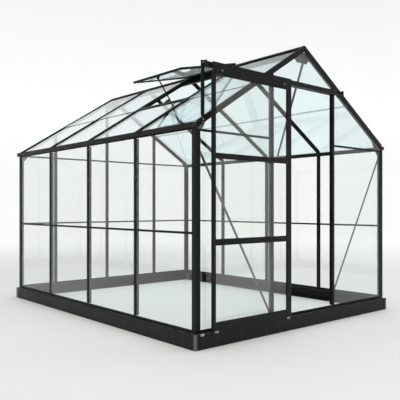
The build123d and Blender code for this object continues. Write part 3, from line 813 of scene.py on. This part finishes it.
@dataclass
class SpringClip:
    """Bent spring wire that holds a pane against its bar.

    The wire bridges the bar's cap and its two arms press on the panes.

    Attributes:
        wire: Radius of the wire.
        cap_half: Half width of the bar's cap.
        reach: How far the arms stand out past the cap.
        spread: How far an arm leans along the bar.
        top: Height of the wire's middle over the cap.
    """

    wire: float = 1.1 * MM
    cap_half: float = 10 * MM
    reach: float = 13 * MM
    spread: float = 10 * MM
    top: float = 1.4 * MM

    def place(self, bm: Mesh, where: Matrix, drop: float) -> None:
        """Add one clip.

        Args:
            bm: The mesh that takes it.
            where: Matrix whose Z points out of the glass and Y along the bar.
            drop: Height of the pane's face below the bar's cap.
        """
        low, bend = self.wire - drop, 1.5 * MM
        edge = self.cap_half + 2.2 * MM
        # one arm, from its free end on the pane up to the cap
        half = [(self.cap_half + self.reach, self.spread, low + bend),
                (self.cap_half + self.reach * 0.8, self.spread * 0.85, low),
                (edge + bend, self.spread * 0.35, low),
                (edge, self.spread * 0.2, low + bend),
                (edge - 1.0 * MM, self.spread * 0.1, self.top * 0.6),
                (self.cap_half * 0.7, 0.0, self.top)]
        path = half + [(0.0, -self.spread * 0.3, self.top)] + [(-x, y, z) for x, y, z in half[::-1]]
        sweep(bm, self.wire, 5, [Vector(point) for point in path], where)


# ==== sub-assemblies ======================================================
@dataclass
class Base:
    """The folded steel base and the rail on it that guides the door's foot.

    Attributes:
        plan: The main lines.
        stop_long: Length of the stop that is pushed over the rail's left end.
        stop_deep: How far it reaches down each side of the rail's edge.
    """

    plan: Plan
    stop_long: float = 24 * MM
    stop_deep: float = 11 * MM

    def dress(self) -> None:
        """Coat the base."""
        Workshop.dress(BASE_COAT, ("base_side_beams", "base_gable_beams", "base_corner_plates"))
        Workshop.dress(BLACK_COAT, ("door_guide_rail",))

    def rail_stop(self, bm: Mesh) -> None:
        """Add the moulded stop, a channel upside down over the rail's edge.

        Args:
            bm: The mesh that takes it.
        """
        low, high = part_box("door_guide_rail")
        edge, gap, wall, cap, soft = 2 * MM, 0.2 * MM, 2.5 * MM, 1.4 * MM, 1 * MM
        inner, outer = edge / 2 + gap, edge / 2 + gap + wall
        deep = self.stop_deep
        outline = [(-outer, -deep), (-outer, cap - soft), (-outer + soft, cap),
                   (outer - soft, cap), (outer, cap - soft), (outer, -deep), (inner, -deep),
                   (inner, gap), (-inner, gap), (-inner, -deep)]
        start = Vector((low.x, low.y + edge / 2, high.z))
        strip_along(bm, outline, start, start + Vector((self.stop_long, 0, 0)), (0, 0, 1))

    def build(self) -> None:
        """Dress the base and add the rail's stop."""
        self.dress()
        Workshop.piece("guide_rail_stop", self.rail_stop, NYLON, FRAME_BODY)


@dataclass
class Walls:
    """Posts, bars, sills, gutters, braces and the nuts that join them.

    Attributes:
        plan: The main lines.
        fixings: The bolts and nuts.
        plate: Depth of the gussets' inner faces behind the gable, and of the
            roof brace's below the roof surface.
        channel: Depth of the bolt channel below the roof surface.
        apex_nuts: Distances of the apex plate's nuts from the ridge.
        eave_nuts: Distances of an eave plate's rafter nuts from the wall.
        post_nut: Distance of its third nut from the wall, and height over
            the plate's foot.
        brace_end: Radius of a brace's round end.
    """

    plan: Plan
    fixings: Fixings
    plate: float = 32 * MM
    channel: float = 27 * MM
    apex_nuts: tuple[float, float] = (44 * MM, 66 * MM)
    eave_nuts: tuple[float, float] = (60 * MM, 36 * MM)
    post_nut: tuple[float, float] = (21 * MM, 12 * MM)
    brace_end: float = 8 * MM

    def dress(self) -> None:
        """Coat the frame and leave the braces and plates bare."""
        Workshop.dress(BLACK_COAT, (
            "side_sills", "gable_sills", "corner_posts", "left_wall_bars", "right_wall_bars",
            "door_jambs", "rear_gable_posts", "door_header", "left_gutter", "right_gutter",
            "ridge_beam", "front_rafters", "rear_rafters", "left_roof_bars", "right_roof_bars",
            "wall_joint_strips", "gable_joint_strips"))
        Workshop.dress(MILL_METAL, ("gable_braces", "roof_brace", "apex_gussets", "eave_gussets"))
        Workshop.dress(CAP_PLASTIC, ("end_caps",))

    def gables(self) -> Iterable[tuple[float, int]]:
        """Yield each gable's plate face and the way that looks inward from it."""
        yield self.plan.front + self.plate, 1
        yield self.plan.rear - self.plate, -1

    def gusset_nuts(self, bm: Mesh) -> None:
        """Add the nuts on the apex and eave plates.

        Args:
            bm: The mesh that takes them.
        """
        half = self.plan.right
        on_rafter = self.apex_nuts + tuple(half - inset for inset in self.eave_nuts)
        spots = [(x, self.plan.roof(x, self.channel)) for x in on_rafter]
        spots.append((half - self.post_nut[0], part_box("eave_gussets")[0].z + self.post_nut[1]))
        for y, inward in self.gables():
            for side in (-1, 1):
                for x, z in spots:
                    self.fixings.nut(bm, frame_at((side * x, y, z), (0, inward, 0)))

    def brace_nuts(self, bm: Mesh) -> None:
        """Add the nuts at the ends of the braces.

        Args:
            bm: The mesh that takes them.
        """
        low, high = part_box("gable_braces")
        end = self.brace_end
        for side in (-1, 1):
            for x, z in ((high.x - end, high.z - end), (self.plan.jambs[1], low.z + end)):
                self.fixings.nut(bm, frame_at((side * x, high.y, z), (0, 1, 0)))
        low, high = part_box("roof_brace")
        for x, y in ((low.x + end, low.y + end), (high.x - end, high.y - end)):
            place = (x, y, self.plan.roof(x, self.plate))
            self.fixings.nut(bm, frame_at(place, -self.plan.outward(1)))

    def build(self) -> None:
        """Dress the walls and add their nuts."""
        self.dress()
        Workshop.piece("gusset_nuts", self.gusset_nuts, BOLT_METAL, FRAME_BODY)
        Workshop.piece("brace_nuts", self.brace_nuts, BOLT_METAL, FRAME_BODY)


@dataclass
class Glazing:
    """The panes, their rubber seals and the wire clips that hold them.

    Attributes:
        plan: The main lines.
        clip: The clip.
        set_back: Glass face behind the outer face of a wall.
        roof_set: Glass face below the roof surface.
        clip_levels: Heights of the clips on a wall bar.
        clip_spots: Distances of the clips on a roof bar from the ridge.
        vent_reach: Distance from the ridge that the vent leaves free of clips.
        vent_bars: How many bars the vent touches, counted from the front.
        seal_foot, seal_head: Gaps between a wall's seal and the base and eave.
        tuck: Depth below the roof surface at which a gable's seals end.
        post_half: Half width of a gable's post, with a gap.
        ridge_gap, eave_gap: Gaps between a roof's seal and the ridge and eave.
    """

    plan: Plan
    clip: SpringClip
    set_back: float = 4 * MM
    roof_set: float = 7.5 * MM
    clip_levels: tuple[float, ...] = (0.15, 0.43, 0.73, 0.99, 1.22)
    clip_spots: tuple[float, ...] = (0.14, 0.34, 0.545, 0.72, 0.88)
    vent_reach: float = 0.53
    vent_bars: int = 2
    seal_foot: float = 20 * MM
    seal_head: float = 1 * MM
    tuck: float = 36 * MM
    post_half: float = 12 * MM
    ridge_gap: float = 32 * MM
    eave_gap: float = 4 * MM

    def dress(self) -> None:
        """Give the panes their glass."""
        Workshop.dress(SIDE_GLASS, ("left_wall_glass", "right_wall_glass"))
        Workshop.dress(GABLE_GLASS, ("front_gable_glass", "rear_gable_glass"))
        Workshop.dress(ROOF_GLASS, ("left_roof_glass", "right_roof_glass"))

    def seal(self, bm: Mesh, start: Sequence[float], stop: Sequence[float],
             out: Sequence[float], gap: float) -> None:
        """Add the two seals that show along the edges of a bar's cap.

        Args:
            bm: The mesh that takes them.
            start: One end of the bar, on its outer face.
            stop: The other end.
            out: Direction out of the wall.
            gap: Distance from the outer face down to the glass.
        """
        cap = -2.05 * MM                # just below the cap, which is 2 mm thick
        foot = -gap + 0.1 * MM          # just above the glass
        lip = -gap + 1.2 * MM
        for side in (-1, 1):
            near = side * (self.clip.cap_half - 3 * MM)
            far = side * (self.clip.cap_half + 2.2 * MM)
            outline = [(near, foot), (far, foot), (far, lip), (near + side * 3.4 * MM, cap),
                       (near, cap)]
            strip_along(bm, outline if side > 0 else outline[::-1], start, stop, out)

    def wall_seals(self, bm: Mesh) -> None:
        """Add the seals of the side walls and gables.

        Args:
            bm: The mesh that takes them.
        """
        plan = self.plan
        foot = plan.base_top + self.seal_foot
        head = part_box("left_wall_bars")[1].z - self.seal_head
        for x, out in ((plan.left, -1), (plan.right, 1)):
            for y in plan.side_bars:
                self.seal(bm, (x, y, foot), (x, y, head), (out, 0, 0), self.set_back)
        beside_ridge = 40 * MM          # a middle post ends beside the ridge beam
        for y, out, posts in ((plan.front, -1, plan.jambs), (plan.rear, 1, plan.rear_posts)):
            for x in posts:
                top = plan.roof(max(abs(x), beside_ridge) + self.post_half, self.tuck)
                self.seal(bm, (x, y, foot), (x, y, top), (0, out, 0), self.set_back)

    def roof_seals(self, bm: Mesh) -> None:
        """Add the seals of both roof slopes.

        Args:
            bm: The mesh that takes them.
        """
        near, far = self.ridge_gap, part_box("right_roof_bars")[1].x - self.eave_gap
        for side in (-1, 1):
            for y in self.plan.side_bars:
                start = (side * near, y, self.plan.roof(near))
                stop = (side * far, y, self.plan.roof(far))
                self.seal(bm, start, stop, self.plan.outward(side), self.roof_set)

    def wall_clips(self, bm: Mesh) -> None:
        """Add the clips of the side walls and the rear gable.

        Args:
            bm: The mesh that takes them.
        """
        for level in self.clip_levels:
            for x, out in ((self.plan.left, -1), (self.plan.right, 1)):
                for y in self.plan.side_bars:
                    self.clip.place(bm, frame_at((x, y, level), (out, 0, 0)), self.set_back)
            for x in self.plan.rear_posts:
                self.clip.place(bm, frame_at((x, self.plan.rear, level), (0, 1, 0)), self.set_back)

    def roof_clips(self, bm: Mesh) -> None:
        """Add the clips of both roof slopes.

        Args:
            bm: The mesh that takes them.
        """
        for side in (-1, 1):
            out = self.plan.outward(side)
            down = (side * 1.0, 0.0, -self.plan.slope)
            for number, y in enumerate(self.plan.side_bars):
                for x in self.clip_spots:
                    if side < 0 and number < self.vent_bars and x < self.vent_reach:
                        continue
                    where = frame_at((side * x, y, self.plan.roof(x)), out, down)
                    self.clip.place(bm, where, self.roof_set)

    def build(self) -> None:
        """Dress the panes and add their seals and clips."""
        self.dress()
        Workshop.piece("wall_seals", self.wall_seals, GASKET, FRAME_BODY)
        Workshop.piece("roof_seals", self.roof_seals, GASKET, FRAME_BODY)
        Workshop.piece("wall_clips", self.wall_clips, BOLT_METAL, FRAME_BODY)
        Workshop.piece("roof_clips", self.roof_clips, BOLT_METAL, FRAME_BODY)


@dataclass
class Vent:
    """The propped roof vent and the capping that holds its pane.

    Attributes:
        cap_high: Height of the capping over the frame's rim.
        cap_wide: Its width.
        cap_lip: How far its lip reaches on over the pane.
        cap_soft: Width of its bevelled edges.
        pane_drop: Depth of the pane's face below the rim.
    """

    cap_high: float = 4 * MM
    cap_wide: float = 11 * MM
    cap_lip: float = 2.5 * MM
    cap_soft: float = 1 * MM
    pane_drop: float = 4 * MM

    def dress(self) -> None:
        """Coat the vent's frame and glaze it."""
        Workshop.dress(BLACK_COAT, ("vent_frame", "vent_hinge", "vent_sill", "vent_stay"))
        Workshop.dress(ROOF_GLASS, ("vent_glass",))

    def capping(self, bm: Mesh) -> None:
        """Add the capping along the four sides of the vent.

        Args:
            bm: The mesh that takes it.
        """
        widest = max(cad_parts["vent_glass"].data.polygons, key=lambda face: face.area)
        out = Vector(widest.normal) * (1 if widest.normal.z > 0 else -1)
        down = Vector((0, 1, 0)).cross(out) * -1
        points = [Vector(vert.co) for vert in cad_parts["vent_frame"].data.vertices]
        rim = max(point.dot(out) for point in points)
        head = min(point.dot(down) for point in points)
        foot = max(point.dot(down) for point in points)
        near, far = (pick(point.y for point in points) for pick in (min, max))

        def corner(reach: float, y: float) -> Vector:
            """Find a point on the rim's top face.

            Args:
                reach: Distance down the vent's slope.
                y: Place along the ridge.

            Returns:
                The point.
            """
            return out * rim + down * reach + Vector((0, y, 0))

        high, wide, lip = self.cap_high, self.cap_wide, self.cap_wide + self.cap_lip
        soft, gap = self.cap_soft, 0.1 * MM
        pane = -self.pane_drop + gap
        outline = [(0, gap), (0, high - soft), (soft, high), (wide - soft, high),
                   (lip, -self.pane_drop + soft), (lip, pane), (wide, pane), (wide - soft, gap)]
        loop = [corner(head, near), corner(foot, near), corner(foot, far), corner(head, far)]
        middle = sum(loop, Vector()) / 4
        for start, stop in zip(loop, loop[1:] + loop[:1]):
            run = (stop - start).normalized()
            flip = 1 if out.cross(run).dot(middle - (start + stop) / 2) > 0 else -1
            # the two lengths along the ridge end between the other two
            trim = run * wide if abs(run.y) > 0.5 else Vector()
            section = [(flip * across, lift) for across, lift in outline]
            strip_along(bm, section, start + trim, stop - trim, out)

    def build(self) -> None:
        """Dress the vent and add its capping."""
        self.dress()
        Workshop.piece("vent_capping", self.capping, BLACK_COAT, FRAME_BODY)


@dataclass
class Door:
    """The sliding door with its hangers, and the track that it hangs from.

    Attributes:
        plan: The main lines.
        fixings: The bolts.
        hanger_drop: Level of the bolts below the hanger plate's top edge.
        hanger_insets: Their distances from the door's left and right edges.
        track_drop: Level of the track's bolts below its top.
        strut_feet: Levels of the strut's lower bolts over its foot.
        strut_head: Level of its upper bolt below its top.
        fold_thick, fold_wide: Section of the strut's folded edge.
        fold_lift: Where the folded edge begins, above the roof.
        seal_wide, seal_deep: Section of the panes' rubber.
    """

    plan: Plan
    fixings: Fixings
    hanger_drop: float = 42 * MM
    hanger_insets: tuple[float, float] = (72 * MM, 66 * MM)
    track_drop: float = 10 * MM
    strut_feet: tuple[float, float] = (10 * MM, 30 * MM)
    strut_head: float = 12 * MM
    fold_thick: float = 2 * MM
    fold_wide: float = 8 * MM
    fold_lift: float = 6 * MM
    seal_wide: float = 2.6 * MM
    seal_deep: float = 3.8 * MM

    def dress(self) -> None:
        """Coat the door, glaze it and finish its running gear."""
        Workshop.dress(BLACK_COAT, ("door_stiles", "door_top_rail", "door_rails", "door_track",
                                    "track_strut"))
        Workshop.dress(GABLE_GLASS, ("door_glass",))
        Workshop.dress(NYLON, ("door_rollers", "door_guides"))

    def hanger_bolts(self, bm: Mesh) -> None:
        """Add the domed bolts that show on the hanger plate.

        Args:
            bm: The mesh that takes them.
        """
        low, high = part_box("door_top_rail")
        level = high.z - self.hanger_drop
        for x in (low.x + self.hanger_insets[0], high.x - self.hanger_insets[1]):
            self.fixings.domed(bm, frame_at((x, low.y, level), (0, -1, 0)))

    def track_bolts(self, bm: Mesh) -> None:
        """Add the bolts of the track and of the strut at its left end.

        Args:
            bm: The mesh that takes them.
        """
        face = self.plan.front - 2 * MM     # outer face of the track's upstand
        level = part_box("door_track")[1].z - self.track_drop
        for x in (self.plan.jambs[0], 0.0, self.plan.jambs[1]):
            self.fixings.screw(bm, frame_at((x, face, level), (0, -1, 0)))
        low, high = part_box("track_strut")
        middle = (low.x + high.x) / 2
        for z in (*(low.z + lift for lift in self.strut_feet), high.z - self.strut_head):
            self.fixings.domed(bm, frame_at((middle, low.y, z), (0, -1, 0)))

    def strut_edge(self, bm: Mesh) -> None:
        """Add the folded edge that stiffens the strut, above the rafter.

        Args:
            bm: The mesh that takes it.
        """
        low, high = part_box("track_strut")
        foot = self.plan.roof(low.x) + self.fold_lift
        thick, wide = self.fold_thick, self.fold_wide
        outline = [(0, 0), (thick, 0), (thick, -wide), (0, -wide)]
        strip_along(bm, outline, (low.x, high.y, foot), (low.x, high.y, high.z), (0, -1, 0))

    def seals(self, bm: Mesh) -> None:
        """Add the rubber round each of the door's panes.

        Args:
            bm: The mesh that takes them.
        """
        (_, left), (right, _) = spans("door_stiles", 0)
        rails = spans("door_rails", 2)
        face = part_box("door_stiles")[0].y + 2.1 * MM     # just behind the stiles' face
        wide, deep = self.seal_wide, self.seal_deep
        outline = [(0, 0), (wide, 0), (wide * 0.6, -deep), (0, -deep)]
        heads = [low for low, _ in rails[1:]] + [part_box("door_top_rail")[0].z]
        for (_, foot), head in zip(rails, heads):
            loop = [(x, face, z) for x, z in ((left, foot), (left, head), (right, head),
                                              (right, foot))]
            for start, stop in zip(loop, loop[1:] + loop[:1]):
                strip_along(bm, outline, start, stop, (0, -1, 0))

    def build(self) -> None:
        """Dress the door and add its seals and bolts."""
        self.dress()
        Workshop.piece("door_seals", self.seals, GASKET, DOOR_BODY)
        Workshop.piece("track_strut_edge", self.strut_edge, BLACK_COAT, FRAME_BODY)
        Workshop.piece("hanger_bolts", self.hanger_bolts, BOLT_METAL, DOOR_BODY)
        Workshop.piece("track_bolts", self.track_bolts, BOLT_METAL, FRAME_BODY)


# ==== studio ==============================================================
@dataclass(frozen=True)
class StudioPaint(Finish):
    """Matt emulsion on the studio's floor, and a backlit screen as its wall.

    The floor is plain paint under the object. Further out it turns into the
    evenly glowing screen, bright behind the object and dimmer all round, so
    that the panes mirror little of it. It fades again high up.

    Attributes:
        paint_ends: Distance from the middle at which the screen begins.
        screen_full: Distance at which it has its full glow.
        fade_from, fade_to: Heights between which the glow fades out.
        glow: Strength of the screen's light.
        heading: Direction of the screen's bright part, from +Y towards +X.
        spread: Degrees either side of it at which the glow begins to fall,
            and at which it has fallen.
        aside: Share of the glow that is left there.
        light: Colour of the screen's light.
        thin: Colour where the roller left less paint.
    """

    paint_ends: float = 2.2
    screen_full: float = 9.5
    fade_from: float = 10.0
    fade_to: float = 13.5
    glow: float = 0.36
    heading: float = 0.7315
    spread: tuple[float, float] = (34, 64)
    aside: float = 0.35
    light: str = "fdfefe"
    thin: str = "e6e6e4"

    def make(self) -> bpy.types.Material:
        """Build the paint, uneven as a rolled coat is, and the screen's glow.

        Returns:
            The material.
        """
        material, tree, place = self.start()
        level = add(tree, "VectorMath", {0: place}, {1: (1.0, 1.0, 0.0)}, operation="MULTIPLY")
        reach = add(tree, "VectorMath", {0: level.outputs["Vector"]}, operation="LENGTH")
        outer = add(tree, "MapRange", {"Value": reach.outputs["Value"]},
                    {"From Min": self.paint_ends, "From Max": self.screen_full,
                     "To Min": 0.0, "To Max": self.glow}, interpolation_type="SMOOTHSTEP")
        high = add(tree, "SeparateXYZ", {"Vector": place})
        fade = add(tree, "MapRange", {"Value": high.outputs["Z"]},
                   {"From Min": self.fade_from, "From Max": self.fade_to,
                    "To Min": 1.0, "To Max": 0.0}, interpolation_type="SMOOTHSTEP")
        bearing = add(tree, "VectorMath", {0: level.outputs["Vector"]}, operation="NORMALIZE")
        ahead = add(tree, "VectorMath", {0: bearing.outputs["Vector"]},
                    {1: (math.sin(self.heading), math.cos(self.heading), 0.0)},
                    operation="DOT_PRODUCT")
        narrow, wide = (math.cos(math.radians(angle)) for angle in self.spread)
        centred = add(tree, "MapRange", {"Value": ahead.outputs["Value"]},
                      {"From Min": wide, "From Max": narrow,
                       "To Min": self.aside, "To Max": 1.0}, interpolation_type="SMOOTHSTEP")
        behind = add(tree, "Math", {0: outer.outputs["Result"], 1: centred.outputs["Result"]},
                     operation="MULTIPLY")
        glowing = add(tree, "Math", {0: behind.outputs["Value"], 1: fade.outputs["Result"]},
                      operation="MULTIPLY")
        uneven = add(tree, "TexNoise", {"Vector": place}, {"Scale": per(900), "Detail": 3.0})
        share = add(tree, "MapRange", {"Value": uneven.outputs["Fac"]},
                    {"From Min": 0.3, "From Max": 0.7, "To Min": 0.0, "To Max": 0.1})
        colour = add(tree, "Mix", {"Factor": share.outputs["Result"]},
                     {"A": linear(self.colour), "B": linear(self.thin)}, data_type="RGBA")
        shader = add(tree, "BsdfPrincipled",
                     {"Base Color": colour.outputs["Result"],
                      "Emission Strength": glowing.outputs["Value"]},
                     {"Roughness": self.roughness, "Specular IOR Level": 0.2,
                      "Emission Color": linear(self.light)})
        add(tree, "OutputMaterial", {"Surface": shader.outputs["BSDF"]})
        return material


STUDIO_PAINT = StudioPaint("studio_paint", "", "f4f4f3", 0.9)


@dataclass
class Studio:
    """A round pale room, soft lamps and the camera.

    Attributes:
        floor: Radius of the level floor.
        sweep: Radius of the curve from floor to wall.
        wall: Height of the wall above the curve.
        eye: Where the camera stands.
        turn: The camera's heading, from +Y towards +X.
        lens: Focal length for a 36 mm wide image.
        shift: Sideways and upward shift, as shares of the image's width.
        sky: Colour of the light from all round.
        sky_strength: Its strength.
    """

    floor: float = 11.0
    sweep: float = 4.0
    wall: float = 10.0
    eye: Point = (-2.9315, -3.661, 0.8048)
    turn: float = 0.7315
    lens: float = 50.2
    shift: tuple[float, float] = (-0.055, 0.0176)
    sky: str = "eef1f3"
    sky_strength: float = 0.22

    def turned(self, bm: Mesh) -> None:
        """Turn the floor, its curve and the wall as one shell that faces inward.

        Args:
            bm: The mesh that takes the shell.
        """
        turns = [math.radians(90 * step / 12) for step in range(13)]
        curve = [(self.floor + self.sweep * math.sin(turn), self.sweep * (1 - math.cos(turn)))
                 for turn in turns]
        top = (self.floor + self.sweep, self.sweep + self.wall)
        below = Matrix.Translation((0, 0, -0.5 * MM))       # the base stands clear of it
        lathe(bm, [(0, 0), *curve, top], 96, below)
        bmesh.ops.reverse_faces(bm, faces=bm.faces)

    def room(self) -> None:
        """Make the room, with smooth shading and apart from the object."""
        shell = Workshop.shape("studio_floor", self.turned, STUDIO_PAINT)
        for face in shell.data.polygons:
            face.use_smooth = True

    def lamp(self, name: str, place: Point, aim: Point, size: float, power: float,
             tint: str) -> None:
        """Hang one soft square lamp.

        Args:
            name: The lamp's name.
            place: Where it hangs.
            aim: The point that it faces.
            size: Its width.
            power: Its power in watts.
            tint: Its colour, sRGB hex.
        """
        data = bpy.data.lights.new(name, "AREA")
        data.shape = "SQUARE"
        data.size = size
        data.energy = power
        data.color = linear(tint)[:3]
        lamp = bpy.data.objects.new(name, data)
        bpy.context.scene.collection.objects.link(lamp)
        lamp.location = place
        # The panes mirror the even screen, and not the lamps' hard square outlines.
        lamp.visible_glossy = False
        lamp.rotation_mode = "QUATERNION"
        lamp.rotation_quaternion = (Vector(aim) - Vector(place)).to_track_quat("-Z", "Y")

    def light(self) -> None:
        """Fill the room with an even sky and three soft lamps."""
        world = bpy.data.worlds.new("studio_sky")
        bpy.context.scene.world = world
        world.use_nodes = True
        back = world.node_tree.nodes["Background"]
        back.inputs["Color"].default_value = linear(self.sky)
        back.inputs["Strength"].default_value = self.sky_strength
        self.lamp("top_lamp", (0.0, 0.0, 10.5), (0, 0, 0), size=9.0, power=430, tint="ffffff")
        self.lamp("key_lamp", (-4.5, -5.0, 7.5), (0, 0, 0.8), size=4.0, power=230, tint="fffcf8")
        self.lamp("fill_lamp", (7.0, -4.0, 6.5), (0, 0, 0.9), size=4.0, power=110, tint="f8faff")

    def camera(self) -> None:
        """Set the camera up at the viewing angle."""
        data = bpy.data.cameras.new("camera")
        data.sensor_width = 36.0
        data.lens = self.lens
        data.shift_x, data.shift_y = self.shift
        data.clip_start = 0.05
        data.clip_end = 100.0
        made = bpy.data.objects.new("camera", data)
        bpy.context.scene.collection.objects.link(made)
        made.location = self.eye
        made.rotation_euler = (math.radians(90), 0.0, -self.turn)
        bpy.context.scene.camera = made

    def build(self) -> None:
        """Make the room, its light and the camera, and let rays pass every pane."""
        self.room()
        self.light()
        self.camera()
        scene = bpy.context.scene
        scene.view_settings.view_transform = "Standard"
        scene.cycles.max_bounces = 24
        scene.cycles.transmission_bounces = 24
        scene.cycles.transparent_max_bounces = 32


def main() -> None:
    """Build every sub-assembly, then the studio."""
    logging.basicConfig(level=logging.INFO, format="%(name)s %(message)s", stream=sys.stdout)
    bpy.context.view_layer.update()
    plan = Plan.read()
    fixings = Fixings()
    Base(plan).build()
    Walls(plan, fixings).build()
    Glazing(plan, SpringClip()).build()
    Vent().build()
    Door(plan, fixings).build()
    Studio().build()


if __name__ == "__main__":
    main()
